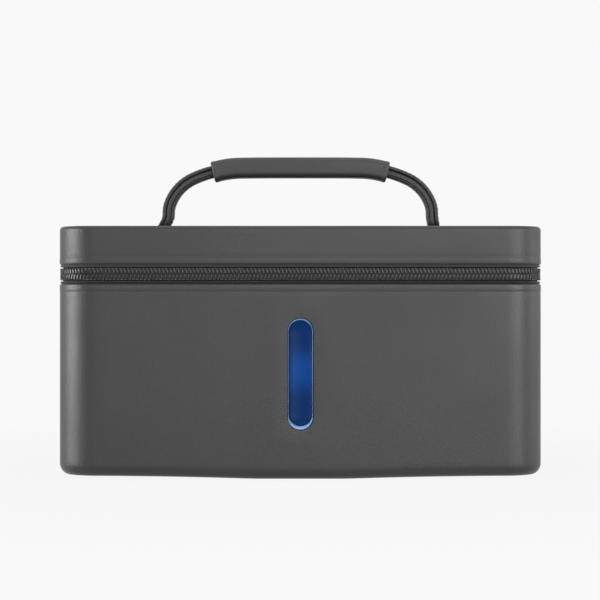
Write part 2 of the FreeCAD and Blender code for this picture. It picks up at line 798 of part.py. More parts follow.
def strap_path(body, end, leg=True):
    """Half of the strap's middle line: across the top, over the shoulder and down to an end."""
    drawn = sketch(body, "XZ_Plane")
    top, leg_top, bottom = number(ARCH), number(LEG_TOP), number(end)
    shoulder, bend = number("shoulder_radius"), number("bend_radius")
    foot, straight = number(FOOT_X), number(STRAIGHT)
    angle = angle_of(foot - bend - straight, (shoulder - bend) * number(BEND_SINE))
    last = 0 if leg else angle_of((bend**2 - (bottom - leg_top) ** 2) ** 0.5, bottom - leg_top)
    shapes = [
        Part.LineSegment(point(0, top), point(straight, top)),
        arc(straight, top - shoulder, shoulder, angle, 90),
        arc(foot - bend, leg_top, bend, last, angle),
    ]
    if leg:
        shapes.append(Part.LineSegment(point(foot, leg_top), point(foot, bottom)))
    ids = [drawn.addGeometry(shape) for shape in shapes]
    drawn.addConstraint(Sketcher.Constraint("Tangent", ids[0], 2, ids[1], 2))
    drawn.addConstraint(Sketcher.Constraint("Tangent", ids[1], 1, ids[2], 2))
    drawn.addConstraint(Sketcher.Constraint("PointOnObject", ids[0], 1, -2))
    drawn.addConstraint(Sketcher.Constraint("Horizontal", ids[0]))
    dimension(drawn, "DistanceY", (-1, 1, ids[0], 1), ARCH)
    dimension(drawn, "Radius", (ids[1],), "shoulder_radius")
    dimension(drawn, "Radius", (ids[2],), "bend_radius")
    dimension(drawn, "DistanceX", (-1, 1, ids[2], 3), f"{FOOT_X} - bend_radius")
    dimension(drawn, "DistanceY", (-1, 1, ids[2], 3), LEG_TOP)
    if leg:
        drawn.addConstraint(Sketcher.Constraint("Tangent", ids[2], 1, ids[3], 1))
        drawn.addConstraint(Sketcher.Constraint("Vertical", ids[3]))
        dimension(drawn, "DistanceY", (-1, 1, ids[3], 2), end)
    else:
        dimension(drawn, "DistanceY", (-1, 1, ids[2], 1), end)
    return drawn


def grip_path(body):
    """Half of the sleeve's middle line: the flat top and the start of the shoulder."""
    drawn = sketch(body, "XZ_Plane")
    top, straight = number(ARCH), number(STRAIGHT)
    shoulder, end = number("shoulder_radius"), number("grip_length / 2")
    drop = (shoulder**2 - (end - straight) ** 2) ** 0.5
    angle = angle_of(end - straight, drop)
    ids = [
        drawn.addGeometry(shape)
        for shape in (
            Part.LineSegment(point(0, top), point(straight, top)),
            arc(straight, top - shoulder, shoulder, angle, 90),
        )
    ]
    drawn.addConstraint(Sketcher.Constraint("Tangent", ids[0], 2, ids[1], 2))
    drawn.addConstraint(Sketcher.Constraint("PointOnObject", ids[0], 1, -2))
    drawn.addConstraint(Sketcher.Constraint("Horizontal", ids[0]))
    dimension(drawn, "DistanceX", (ids[0], 1, ids[0], 2), STRAIGHT)
    dimension(drawn, "DistanceY", (-1, 1, ids[0], 1), ARCH)
    dimension(drawn, "Radius", (ids[1],), "shoulder_radius")
    dimension(drawn, "DistanceX", (-1, 1, ids[1], 1), "grip_length / 2")
    return drawn


def swept_band(name, width, thickness, above, end, leg=True):
    """A band of rectangular section along half the arch; above is its rise over the middle line."""
    body = new_body(name)
    section = sketch(body, "YZ_Plane", y=f"{ARCH} + {above}")
    rectangle_outline(section, width, thickness)
    spine = strap_path(body, end, leg)
    pipe = body.newObject("PartDesign::AdditivePipe", "Pipe")
    pipe.Profile = section
    pipe.Spine = (spine, [f"Edge{index + 1}" for index in range(len(spine.Shape.Edges))])
    return body


def foot_end(name, width, above):
    """The half-round end of one strap layer, under the handle's pivot."""
    disc = cylinder(
        name + "_disc", FOOT_RADIUS, width, f"{FOOT_X} + {above} - ({width}) / 2", "0", PIVOT, "+x")
    upper = box(
        name + "_upper", "4 * strap_thickness", "2 * strap_width", "2 * strap_width",
        FOOT_X, "0", PIVOT)
    return cut(name, disc, [upper])


STRAP_INNER = "(strap_thickness - strap_outer_layer - seam_gap)"
OUTER_ABOVE = "((strap_thickness - strap_outer_layer) / 2)"
INNER_ABOVE = "(-(strap_outer_layer + seam_gap) / 2)"

pivot_bore = cylinder(
    "pivot_bore", "pivot_radius", "4 * strap_thickness",
    f"{FOOT_X} - 2 * strap_thickness", "0", PIVOT, "+x",
)
head_sink = cylinder(
    "head_sink", "pivot_head_radius", "strap_thickness",
    f"{FOOT_X} - 1.5 * strap_thickness", "0", PIVOT, "+x",
)
outer_half = fuse("outer_half", [
    swept_band("strap_outer_band", "strap_width", "strap_outer_layer", OUTER_ABOVE, PIVOT),
    foot_end("outer_foot", "strap_outer_layer", OUTER_ABOVE),
])
piece("handle_strap_outer", mirrored(
    "handle_strap_outer", cut("outer_drilled", outer_half, [pivot_bore])))

FORK_TOP = f"({PIVOT} + tongue_width / 2 + clearance)"
fork_slot = box(
    "fork_slot", SLOT, "2 * strap_width", f"2 * strap_width + tongue_width / 2 + clearance",
    TONGUE_X, "0", f"{FORK_TOP} - (2 * strap_width + tongue_width / 2 + clearance)",
)
STIFFENER_ABOVE = (
    "(strap_thickness / 2 - strap_outer_layer - stiffener_depth - stiffener_thickness / 2)"
)
STIFFENER_END = f"({FORK_TOP} + 2 * clearance)"
inner_half = fuse("inner_half", [
    swept_band("strap_inner_band", "strap_width", STRAP_INNER, INNER_ABOVE, PIVOT),
    foot_end("inner_foot", STRAP_INNER, INNER_ABOVE),
])
stiffener_half = swept_band(
    "stiffener_band", "stiffener_width", "stiffener_thickness", STIFFENER_ABOVE,
    STIFFENER_END, leg=False)
piece("handle_strap_inner", mirrored(
    "handle_strap_inner",
    cut("inner_drilled", inner_half, [pivot_bore, head_sink, fork_slot, stiffener_half])))
piece("handle_stiffener", mirrored("handle_stiffener", stiffener_half))

grip = new_body("grip_half")
section = sketch(grip, "YZ_Plane", y=ARCH)
rounded_outline(section, "grip_width", "grip_thickness", "grip_fillet")
rectangle_outline(section, "strap_width", "strap_thickness")
spine = grip_path(grip)
pipe = grip.newObject("PartDesign::AdditivePipe", "Pipe")
pipe.Profile = section
pipe.Spine = (spine, ["Edge1", "Edge2"])
piece("handle_grip", mirrored("handle_grip", grip))

pins = []
PIN_REACH = "(strap_thickness / 2 + pivot_head_height)"
for index, sign in enumerate((-1, 1)):
    shank = cylinder(
        f"pivot_shank_{index}", "pivot_radius", "strap_thickness",
        f"{sign} * {FOOT_X} - strap_thickness / 2", "0", PIVOT, "+x")
    heads = [
        cylinder(
            f"pivot_head_{index}_{end}", "pivot_head_radius", "pivot_head_height",
            f"{sign} * {FOOT_X} + {shift}", "0", PIVOT, "+x")
        for end, shift in enumerate(("strap_thickness / 2", f"-{PIN_REACH}"))
    ]
    pins.append(fuse(f"pivot_pin_{index}", [shank, *heads]))
piece("handle_pivot_pins", group("handle_pivot_pins", pins))


# Handle anchors: a base plate under the lid's top, with a tongue up into the strap's fork

ANCHOR_Z = f"({LID_INNER} - anchor_thickness)"
anchor_screws = []
anchor_cuts = []
for side, sign in (("left", -1), ("right", 1)):
    plate = box(
        f"anchor_plate_{side}", "anchor_length", "anchor_width", "anchor_thickness",
        f"{sign} * {TONGUE_X}", "0", ANCHOR_Z)
    stem = box(
        f"anchor_stem_{side}", "tongue_thickness", "tongue_width", f"{PIVOT} - {ANCHOR_Z}",
        f"{sign} * {TONGUE_X}", "0", ANCHOR_Z)
    eye = cylinder(
        f"anchor_eye_{side}", "tongue_width / 2", "tongue_thickness",
        f"{sign} * {TONGUE_X} - tongue_thickness / 2", "0", PIVOT, "+x")
    bore = cylinder(
        f"anchor_bore_{side}", "pivot_radius + pin_clearance", "3 * tongue_thickness",
        f"{sign} * {TONGUE_X} - 1.5 * tongue_thickness", "0", PIVOT, "+x")
    holes = []
    for index, reach_x in enumerate((-1, 1)):
        x = f"{sign} * {TONGUE_X} + {reach_x} * anchor_screw_spacing / 2"
        holes.append(screw_hole(
            f"anchor_hole_{side}_{index}", x, "0", LAMP_TOP, "+z", "2 * backing_thickness"))
        anchor_cuts.append(screw_hole(
            f"backing_hole_{side}_{index}", x, "0", LAMP_TOP, "+z", "2 * backing_thickness"))
        anchor_cuts.append(cylinder(
            f"backing_sink_{side}_{index}", "screw_head_radius", "screw_head_height",
            x, "0", LAMP_TOP))
        anchor_screws.append(screw(
            f"anchor_screw_{side}_{index}", x, "0", f"{LAMP_TOP} + screw_head_height", "+z",
            "backing_thickness - screw_head_height"))
    anchor_cuts.append(box(
        f"anchor_seat_{side}", "anchor_length", "anchor_width", "2 * anchor_thickness",
        f"{sign} * {TONGUE_X}", "0", ANCHOR_Z))
    anchor = fuse(f"anchor_block_{side}", [plate, stem, eye])
    piece(f"handle_anchor_{side}", cut(f"handle_anchor_{side}", anchor, [bore, *holes]))
piece("anchor_screws", group("anchor_screws", anchor_screws))


# Lid interior: backing plate, lamp panel, lamp boards and their windows

def backing_outline(drawn):
    rounded_outline(drawn, "backing_length", "backing_width", "corner_radius - shell_wall")


backing = plate_body("backing_blank", backing_outline, LAMP_TOP, "backing_thickness")
LAMP_BOTTOM = f"({LAMP_TOP} - lamp_panel_height)"
WINDOW_Z = f"({LAMP_BOTTOM} + lamp_panel_skin)"
BOARD_UNDER = f"({LAMP_TOP} - lamp_board_thickness)"
panel_screws = []
panel_holes = []
backing_holes = list(anchor_cuts)
panel_corners = corners_of(
    "(lamp_panel_length / 2 - panel_screw_inset)", "(lamp_panel_width / 2 - panel_screw_inset)")
for index, (x, y) in enumerate(panel_corners):
    panel_screws.append(screw(
        f"panel_screw_{index}", x, y, f"{LAMP_BOTTOM} + screw_head_height", "+z"))
    panel_holes.append(screw_hole(
        f"panel_hole_{index}", x, y, LAMP_BOTTOM, "+z", "screw_length + screw_head_height"))
    panel_holes.append(cylinder(
        f"panel_sink_{index}", "screw_head_radius", "screw_head_height", x, y, LAMP_BOTTOM))
    backing_holes.append(screw_hole(
        f"backing_screw_{index}", x, y, LAMP_BOTTOM, "+z", "screw_length + screw_head_height"))
piece("lid_backing_plate", cut("lid_backing_plate", backing, backing_holes))
piece("lamp_panel_screws", group("lamp_panel_screws", panel_screws))


def lamp_places():
    """Where the lamps sit: two rows of four."""
    return [
        (f"{column} * lamp_pitch", f"{line} * lamp_row_spacing / 2")
        for line in (-1, 1)
        for column in (-1.5, -0.5, 0.5, 1.5)
    ]


panel = new_body("lamp_panel_blank")
outline = sketch(panel, "XY_Plane", z=LAMP_BOTTOM)
rounded_outline(outline, "lamp_panel_length", "lamp_panel_width", "lamp_panel_radius")
panel_block = pad(panel, outline, "lamp_panel_height")
for line in (-1, 1):
    well = sketch(panel, "XY_Plane", y=f"{line} * lamp_row_spacing / 2", z=LAMP_TOP)
    rounded_outline(
        well, "lamp_board_length + 2 * lamp_well_wall", "lamp_board_width + 2 * lamp_well_wall",
        "lamp_well_wall")
    pocket(panel, well, "lamp_panel_height - lamp_panel_skin")
lamps, windows, openings = [], [], []
for index, (x, y) in enumerate(lamp_places()):
    openings.append(cylinder(
        f"lamp_opening_{index}", "window_opening", "3 * lamp_panel_skin",
        x, y, f"{LAMP_BOTTOM} - lamp_panel_skin"))
    windows.append(cylinder(
        f"window_{index}", "window_radius", "window_thickness", x, y, WINDOW_Z))
    lamps.append(box(
        f"lamp_{index}", "lamp_size", "lamp_size", "lamp_chip_height",
        x, y, f"{BOARD_UNDER} - lamp_chip_height"))
piece("lamp_panel", cut("lamp_panel", panel, panel_holes + openings))
piece("lamp_windows", group("lamp_windows", windows))
piece("uv_lamps", group("uv_lamps", lamps))
for side, line in (("front", -1), ("rear", 1)):
    piece(f"lamp_board_{side}", box(
        f"lamp_board_{side}", "lamp_board_length", "lamp_board_width", "lamp_board_thickness",
        "0", f"{line} * lamp_row_spacing / 2", BOARD_UNDER))

# Safety interlock: a magnet in the lid over a sensor in the base
piece("lid_magnet", box(
    "lid_magnet", "magnet_length", "magnet_thickness", "magnet_height",
    "sensor_x", f"{LINED} + magnet_thickness / 2 - {FACE}", f"{EDGE} + sensor_drop"))
piece("lid_sensor", box(
    "lid_sensor", "sensor_length", "sensor_thickness", "sensor_height",
    "sensor_x", f"{LINED} + sensor_thickness / 2 - {FACE}",
    f"{RIM} - sensor_drop - sensor_height"))


# Double bottom: equipment tray, battery, main board and the shelf over them

tray = new_body("tray_blank")
outline = sketch(tray, "XY_Plane", z="floor_level")
body_outline(outline, TRAY_INSET)
pad(tray, outline, "compartment_height")
hollow = sketch(tray, "XY_Plane", z=TRAY_TOP)
body_outline(hollow, f"{TRAY_INSET} + tray_skin")
pocket(tray, hollow, "compartment_height - tray_skin")

BOARD_Y = f"({FACE} - {TRAY_INSET} - tray_skin - board_rear_gap - board_width / 2)"
BOARD_Z = f"({TRAY_FLOOR} + board_standoff)"
BOARD_TOP = f"({BOARD_Z} + board_thickness)"
floor_corners = corners_of(f"({SIDE} - floor_screw_inset)", f"({FACE} - floor_screw_inset)")
bosses = [
    cylinder(f"floor_boss_{index}", "floor_boss_radius", "compartment_height - tray_skin",
             x, y, TRAY_FLOOR)
    for index, (x, y) in enumerate(floor_corners)
]
board_places = corners_of(
    "board_length / 2 - board_screw_inset", "board_width / 2 - board_screw_inset")
board_places = [(f"board_x + {x}", f"{BOARD_Y} + {y}") for x, y in board_places]
bosses += [
    cylinder(f"standoff_{index}", "standoff_radius", "board_standoff", x, y, TRAY_FLOOR)
    for index, (x, y) in enumerate(board_places)
]
tray_cuts = [port_cut]
shelf_cuts = []
floor_screws = []
for index, (x, y) in enumerate(floor_corners):
    start = f"{SHELF_TOP} - screw_head_height"
    floor_screws.append(screw(f"floor_screw_{index}", x, y, start, "-z"))
    for cuts, name in ((tray_cuts, "boss_hole"), (shelf_cuts, "shelf_hole")):
        cuts.append(screw_hole(f"{name}_{index}", x, y, start, "-z", "screw_length"))
    shelf_cuts.append(cylinder(
        f"shelf_sink_{index}", "screw_head_radius", "screw_head_height", x, y, start))
board_screws = []
board_cuts = []
for index, (x, y) in enumerate(board_places):
    length = "board_standoff + board_thickness / 2"
    board_screws.append(screw(
        f"board_screw_{index}", x, y, BOARD_TOP, "-z", length, "small_screw"))
    for cuts, name in ((tray_cuts, "standoff_hole"), (board_cuts, "board_hole")):
        cuts.append(screw_hole(
            f"{name}_{index}", x, y, BOARD_TOP, "-z", length, "small_screw_radius"))
tray_body = fuse("tray_body", [tray, *bosses])
piece("equipment_tray", cut("equipment_tray", tray_body, tray_cuts))
piece("floor_screws", group("floor_screws", floor_screws))
piece("board_screws", group("board_screws", board_screws))


def shelf_outline(drawn):
    body_outline(drawn, TRAY_INSET)


shelf = plate_body("shelf_blank", shelf_outline, TRAY_TOP, "shelf_thickness")
piece("false_floor", cut("false_floor", shelf, [*shelf_cuts, wire_hole, ribbon_hole]))

board = box(
    "board_blank", "board_length", "board_width", "board_thickness", "board_x", BOARD_Y, BOARD_Z)
piece("main_board", cut("main_board", board, board_cuts))
CONNECTOR_IN = "(board_width / 2 - connector_inset - connector_depth / 2)"
connectors = [
    box(f"{name}_connector", "connector_length", "connector_depth", "connector_height",
        x, f"{BOARD_Y} + {sign} * {CONNECTOR_IN}", BOARD_TOP)
    for name, x, sign in (
        ("lamp", "ribbon_x", 1), ("button", "0", -1), ("battery", "2 * connector_length * -1", -1))
]
piece("board_parts", group("board_parts", [
    box("controller_chip", "chip_size", "chip_size", "chip_height",
        "board_x + board_length / 4", BOARD_Y, BOARD_TOP),
    box("power_coil", "coil_size", "coil_size", "connector_height",
        "board_x - board_length / 4", BOARD_Y, BOARD_TOP),
    *connectors,
]))

piece("battery_pack", box(
    "battery_pack", "battery_length", "battery_width", "battery_height",
    "battery_x", "battery_y", TRAY_FLOOR))
CLAMP_HEIGHT = "(battery_height + clamp_thickness)"
clamp_block = box(
    "clamp_block", "clamp_width", "battery_width + 2 * clamp_thickness + 2 * clamp_width",
    CLAMP_HEIGHT, "battery_x", "battery_y", TRAY_FLOOR)
clamp_sides = [
    box(f"clamp_side_{index}", "2 * clamp_width", "clamp_width", "battery_height",
        "battery_x", f"battery_y + {sign} * (battery_width / 2 + clamp_thickness"
        f" + clamp_width / 2)", f"{TRAY_FLOOR} + clamp_thickness")
    for index, sign in enumerate((-1, 1))
]
clamp_tops = [
    box(f"clamp_top_{index}", "2 * clamp_width", "clamp_width", "2 * clamp_thickness",
        "battery_x", f"battery_y + {sign} * (battery_width / 2 + clamp_thickness"
        f" + clamp_width / 2)", f"{TRAY_FLOOR} + battery_height")
    for index, sign in enumerate((-1, 1))
]
clamp_inside = box(
    "clamp_inside", "2 * clamp_width", "battery_width", "battery_height",
    "battery_x", "battery_y", TRAY_FLOOR)
piece("battery_clamp", cut(
    "battery_clamp", clamp_block, [*clamp_sides, *clamp_tops, clamp_inside]))


# Charging port in the back wall: socket, frame, and a flap hinged along its top

SOCKET_Y = f"({FACE} - {TRAY_INSET} - tray_skin - socket_depth / 2)"
socket_block = box(
    "socket_block", "socket_width", "socket_depth", "socket_height", "board_x", SOCKET_Y,
    BOARD_TOP)
socket_mouth = box(
    "socket_mouth", "socket_width - 2 * socket_wall", "socket_depth",
    "socket_height - 2 * socket_wall", "board_x", f"{SOCKET_Y} + socket_floor",
    f"{BOARD_TOP} + socket_wall")
piece("charge_socket", cut("charge_socket", socket_block, [socket_mouth]))

FLANGE_Y = f"({FACE} + port_flange_thickness)"
COVER_AXIS_Y = f"({FLANGE_Y} + clearance + cover_barrel)"
COVER_AXIS_Z = f"({PORT_Z} + port_height / 2 + clearance + cover_barrel)"
FRAME_WIDTH = "(port_width + 2 * port_flange)"
FRAME_TOP = f"({COVER_AXIS_Z} + cover_barrel + cover_lug_wall)"
LUG_DEPTH = "(clearance + 2 * cover_barrel + cover_lug_wall)"
FRAME_BOTTOM = f"({PORT_Z} - port_height / 2 - port_flange / 2)"
port_core = box(
    "port_core", "port_width", f"{TRAY_INSET} + tray_skin",
    "port_height", "board_x", f"{FACE} - ({TRAY_INSET} + tray_skin) / 2",
    f"{PORT_Z} - port_height / 2")
port_flange = box(
    "port_flange_plate", FRAME_WIDTH, "port_flange_thickness", f"{FRAME_TOP} - {FRAME_BOTTOM}",
    "board_x", f"{FACE} + port_flange_thickness / 2", FRAME_BOTTOM)
lugs = [
    box(f"port_lug_{index}", "cover_lug", LUG_DEPTH, "2 * (cover_barrel + cover_lug_wall)",
        f"board_x + {sign} * ({FRAME_WIDTH} - cover_lug) / 2",
        f"{FLANGE_Y} + {LUG_DEPTH} / 2",
        f"{COVER_AXIS_Z} - cover_barrel - cover_lug_wall")
    for index, sign in enumerate((-1, 1))
]
port_opening = box(
    "port_opening", "port_opening_width", "4 * shell_wall + 4 * tray_skin",
    "port_opening_height", "board_x", FACE, f"{PORT_Z} - port_opening_height / 2")
trunnion_bore = cylinder(
    "trunnion_bore", "cover_trunnion + pin_clearance", f"2 * {FRAME_WIDTH}",
    f"board_x - {FRAME_WIDTH}", COVER_AXIS_Y, COVER_AXIS_Z, "+x")
port_block = fuse("port_block", [port_core, port_flange, *lugs])
piece("port_frame", cut("port_frame", port_block, [port_opening, trunnion_bore]))

COVER_WIDTH = f"({FRAME_WIDTH} - 2 * cover_lug - 2 * clearance)"
cover_plate = box(
    "cover_plate", COVER_WIDTH, "cover_thickness", f"{COVER_AXIS_Z} - {FRAME_BOTTOM}",
    "board_x", f"{FLANGE_Y} + clearance + cover_thickness / 2", FRAME_BOTTOM)
cover_barrel = cylinder(
    "cover_barrel_rod", "cover_barrel", COVER_WIDTH, f"board_x - {COVER_WIDTH} / 2",
    COVER_AXIS_Y, COVER_AXIS_Z, "+x")
trunnions = cylinder(
    "cover_trunnions", "cover_trunnion", f"{FRAME_WIDTH} - clearance",
    f"board_x - ({FRAME_WIDTH} - clearance) / 2", COVER_AXIS_Y, COVER_AXIS_Z, "+x")
piece("port_cover", fuse("port_cover", [cover_plate, cover_barrel, trunnions]))


# Front button: rim, dished cap, housing behind the wall, switch board and return pads

WALL_IN = f"({FACE} - shell_wall)"
FLANGE_IN = f"({WALL_IN} - bezel_flange_thickness)"
HOUSING_IN = f"({FLANGE_IN} - housing_depth)"
BOARD_FRONT = f"({HOUSING_IN} + housing_back + button_board_thickness)"
CAP_REAR = f"({FLANGE_IN} - clearance - cap_flange_thickness)"


def front_slab(body, width, height, near, far):
    """A pill-shaped slab behind the front face, between two distances from the middle."""
    drawn = sketch(body, "XZ_Plane", y="window_level", z=near)
    pill_outline(drawn, width, height)
    return drawn, f"({far}) - ({near})"


def front_pad(body, width, height, near, far):
    return pad(body, *front_slab(body, width, height, near, far))


def front_pocket(body, width, height, near, far):
    drawn, depth = front_slab(body, width, height, near, far)
    return pocket(body, drawn, depth, backwards=True)


FLANGE_W = "window_width + 2 * bezel_flange"
FLANGE_H = "window_height + 2 * bezel_flange"
CLEAR_W = "window_width - 2 * bezel_rim"
CLEAR_H = "window_height - 2 * bezel_rim"
bezel = new_body("bezel_blank")
front_pad(bezel, "window_width", "window_height", WALL_IN, f"{FACE} + bezel_proud")
front_pad(bezel, FLANGE_W, FLANGE_H, FLANGE_IN, WALL_IN)
front_pocket(bezel, CLEAR_W, CLEAR_H, FLANGE_IN, f"{FACE} + 2 * bezel_proud")

cap = new_body("button_cap")
CAP_W = f"{CLEAR_W} - 2 * clearance"
CAP_H = f"{CLEAR_H} - 2 * clearance"
CAP_FRONT = f"({FACE} + bezel_proud - cap_recess)"
front_pad(cap, f"{CAP_W} + 2 * cap_flange", f"{CAP_H} + 2 * cap_flange",
          CAP_REAR, f"{FLANGE_IN} - clearance")
front_pad(cap, CAP_W, CAP_H, f"{FLANGE_IN} - clearance", CAP_FRONT)
dish = front_pocket(cap, f"{CAP_W} - 2 * cap_edge", f"{CAP_H} - 2 * cap_edge",
                    f"{CAP_FRONT} - cap_dish", CAP_FRONT)
dish_floor = number(f"{CAP_FRONT} - cap_dish")
# The floor of the dish runs up into its sides in a curve nearly as deep as the dish
DISH_CURVE = "(0.9 * cap_dish)"
fillet(cap, dish, DISH_CURVE, lambda e: abs(e.BoundBox.YMin + dish_floor) < NEAR
       and abs(e.BoundBox.YMax + dish_floor) < NEAR)
piece("button_cap", cap)

housing = new_body("housing_blank")
front_pad(housing, FLANGE_W, FLANGE_H, HOUSING_IN, FLANGE_IN)
front_pocket(housing, f"{FLANGE_W} - 2 * housing_wall", f"{FLANGE_H} - 2 * housing_wall",
             f"{HOUSING_IN} + housing_back", FLANGE_IN)

housing_screws, housing_holes, bezel_holes = [], [], []
SCREW_REACH = "(housing_depth + bezel_flange_thickness / 2)"
for index, (x, z) in enumerate(corners_of(
        "(window_width / 2 + bezel_flange - housing_wall / 2)", "housing_screw_z")):
    level = f"window_level + {z}"
    housing_screws.append(screw(
        f"housing_screw_{index}", x, f"-{HOUSING_IN}", level, "-y", SCREW_REACH, "small_screw"))
    for holes, name in ((housing_holes, "housing_hole"), (bezel_holes, "bezel_hole")):
        holes.append(screw_hole(
            f"{name}_{index}", x, f"-{HOUSING_IN}", level, "-y", SCREW_REACH,
            "small_screw_radius"))
WIRE_TOP = "(window_level - window_height / 2 - bezel_flange + housing_wall)"
housing_holes.append(cylinder(
    "housing_wire_hole", "wire_radius", "2 * housing_wall", "0", WIRE_Y,
    f"{WIRE_TOP} - 2 * housing_wall"))
piece("button_bezel", cut("button_bezel", bezel, bezel_holes))
piece("button_housing", cut("button_housing", housing, housing_holes))
piece("housing_screws", group("housing_screws", housing_screws))

button_board = new_body("button_board")
front_pad(button_board, f"{FLANGE_W} - 2 * housing_wall - 2 * button_board_gap",
          f"{FLANGE_H} - 2 * housing_wall - 2 * button_board_gap",
          f"{HOUSING_IN} + housing_back", BOARD_FRONT)
piece("button_board", button_board)
switch_body = box(
    "switch_body", "switch_size", "switch_height", "switch_size",
    "0", f"-({BOARD_FRONT} + switch_height / 2)", "window_level - switch_size / 2")
plunger = cylinder(
    "switch_plunger_rod", "switch_plunger",
    f"{CAP_REAR} - cap_travel - switch_gap - {BOARD_FRONT}",
    "0", f"-{BOARD_FRONT}", "window_level", "-y")
piece("tact_switch", fuse("tact_switch", [switch_body, plunger]))
piece("indicator_leds", group("indicator_leds", [
    box(f"indicator_{index}", "indicator_size", "indicator_height", "indicator_size",
        "0", f"-({BOARD_FRONT} + indicator_height / 2)",
        f"window_level + {step} * indicator_pitch - indicator_size / 2")
    for index, step in enumerate((-1.5, -0.5, 0.5, 1.5))
]))
piece("return_pads", group("return_pads", [
    cone(f"return_pad_{index}", "return_pad_radius", "return_pad_tip",
         f"{CAP_REAR} - {BOARD_FRONT}", "0", f"-{BOARD_FRONT}",
         f"window_level + {sign} * return_pad_offset", "-y")
    for index, sign in enumerate((-1, 1))
]))


# Wiring that the bag holds all the way

wire = new_body("button_cable")
section = sketch(wire, "XY_Plane", y=WIRE_Y, z=WIRE_TOP)
circle_outline(section, "wire_radius")
run = sketch(wire, "YZ_Plane")
WIRE_LOW = f"({BOARD_TOP} + connector_height / 2)"
WIRE_END = f"({BOARD_Y} - {CONNECTOR_IN} - connector_depth / 2)"
start_y, bend = number(WIRE_Y), number("wire_bend")
top_z, low_z, end_y = number(WIRE_TOP), number(WIRE_LOW), number(WIRE_END)
ids = [
    run.addGeometry(shape)
    for shape in (
        Part.LineSegment(point(start_y, top_z), point(start_y, low_z + bend)),
        arc(start_y + bend, low_z + bend, bend, 180, 270),
        Part.LineSegment(point(start_y + bend, low_z), point(end_y, low_z)),
    )
]
run.addConstraint(Sketcher.Constraint("Tangent", ids[0], 2, ids[1], 1))
run.addConstraint(Sketcher.Constraint("Tangent", ids[1], 2, ids[2], 1))
run.addConstraint(Sketcher.Constraint("Vertical", ids[0]))
run.addConstraint(Sketcher.Constraint("Horizontal", ids[2]))
dimension(run, "Radius", (ids[1],), "wire_bend")
dimension(run, "DistanceX", (ids[0], 1, -1, 1), f"-{WIRE_Y}")
dimension(run, "DistanceY", (-1, 1, ids[0], 1), WIRE_TOP)
dimension(run, "DistanceY", (-1, 1, ids[2], 2), WIRE_LOW)
dimension(run, "DistanceX", (-1, 1, ids[2], 2), WIRE_END)
pipe = wire.newObject("PartDesign::AdditivePipe", "Pipe")
pipe.Profile = section
pipe.Spine = (run, ["Edge1", "Edge2", "Edge3"])
piece("button_cable", wire)

RIBBON_TOP = f"({RIM} - duct_rim_gap)"
RIBBON_LOW = f"({BOARD_TOP} + connector_height / 2)"
RIBBON_PLUG = f"({BOARD_Y} + {CONNECTOR_IN} + connector_depth / 2)"
ribbon_down = box(
    "ribbon_down", "ribbon_width", "ribbon_thickness", f"{RIBBON_TOP} - {RIBBON_LOW}",
    "ribbon_x", RIBBON_Y, RIBBON_LOW)
RIBBON_RUN = f"({RIBBON_Y} + ribbon_thickness / 2 - {RIBBON_PLUG})"
ribbon_in = box(
    "ribbon_in", "ribbon_width", RIBBON_RUN, "ribbon_thickness", "ribbon_x",
    f"{RIBBON_PLUG} + {RIBBON_RUN} / 2", RIBBON_LOW)
piece("lamp_ribbon_base", fuse("lamp_ribbon_base", [ribbon_down, ribbon_in]))
piece("lamp_ribbon_flex", box(
    "lamp_ribbon_flex", "ribbon_width", "ribbon_thickness",
    f"{EDGE} + duct_rim_gap - {RIBBON_TOP}", "ribbon_x", RIBBON_Y, RIBBON_TOP))
RIBBON_CEILING = f"({LAMP_TOP} - liner_thickness - ribbon_thickness)"
ribbon_up = box(
    "ribbon_up", "ribbon_width", "ribbon_thickness",
    f"{LAMP_TOP} - liner_thickness - ({EDGE} + duct_rim_gap)",
    "ribbon_x", RIBBON_Y, f"{EDGE} + duct_rim_gap")
RIBBON_REACH = f"({RIBBON_Y} + ribbon_thickness / 2 - lamp_panel_width / 2)"
ribbon_over = box(
    "ribbon_over", "ribbon_width", RIBBON_REACH, "ribbon_thickness", "ribbon_x",
    f"lamp_panel_width / 2 + {RIBBON_REACH} / 2", RIBBON_CEILING)
piece("lamp_ribbon_lid", fuse("lamp_ribbon_lid", [ribbon_up, ribbon_over]))

duct_block = box(
    "duct_block", "duct_width", "duct_depth", f"{RIBBON_TOP} - {SHELF_TOP} - liner_thickness",
    "ribbon_x", f"{FACE} - {LINED} - duct_depth / 2", f"{SHELF_TOP} + liner_thickness")
duct_channel = box(
    "duct_channel", "duct_width - 2 * duct_wall", "duct_depth - duct_wall",
    f"2 * {RIM}", "ribbon_x", f"{FACE} - {LINED} - (duct_depth - duct_wall) / 2", "0")
piece("ribbon_duct", cut("ribbon_duct", duct_block, [duct_channel]))


# Checks and output

doc.recompute()
faults = [
    f"{thing.Name} ({thing.Label}): {thing.State}"
    for thing in doc.Objects
    if "Invalid" in thing.State or "Error" in thing.State
]
for thing in pieces:
    shape = thing.Shape
    if shape.isNull() or not shape.isValid() or not shape.Solids:
        faults.append(f"{thing.Label}: no valid solid")
if faults:
    raise RuntimeError("; ".join(faults))

os.makedirs("parts", exist_ok=True)
for thing in pieces:
    thing.Shape.exportStep(f"parts/{thing.Label}.step")
    print(f"{thing.Label}: {len(thing.Shape.Solids)} solids, {thing.Shape.Volume:.1f} mm3")
print(f"{len(pieces)} sub-parts")
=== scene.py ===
import json
import math

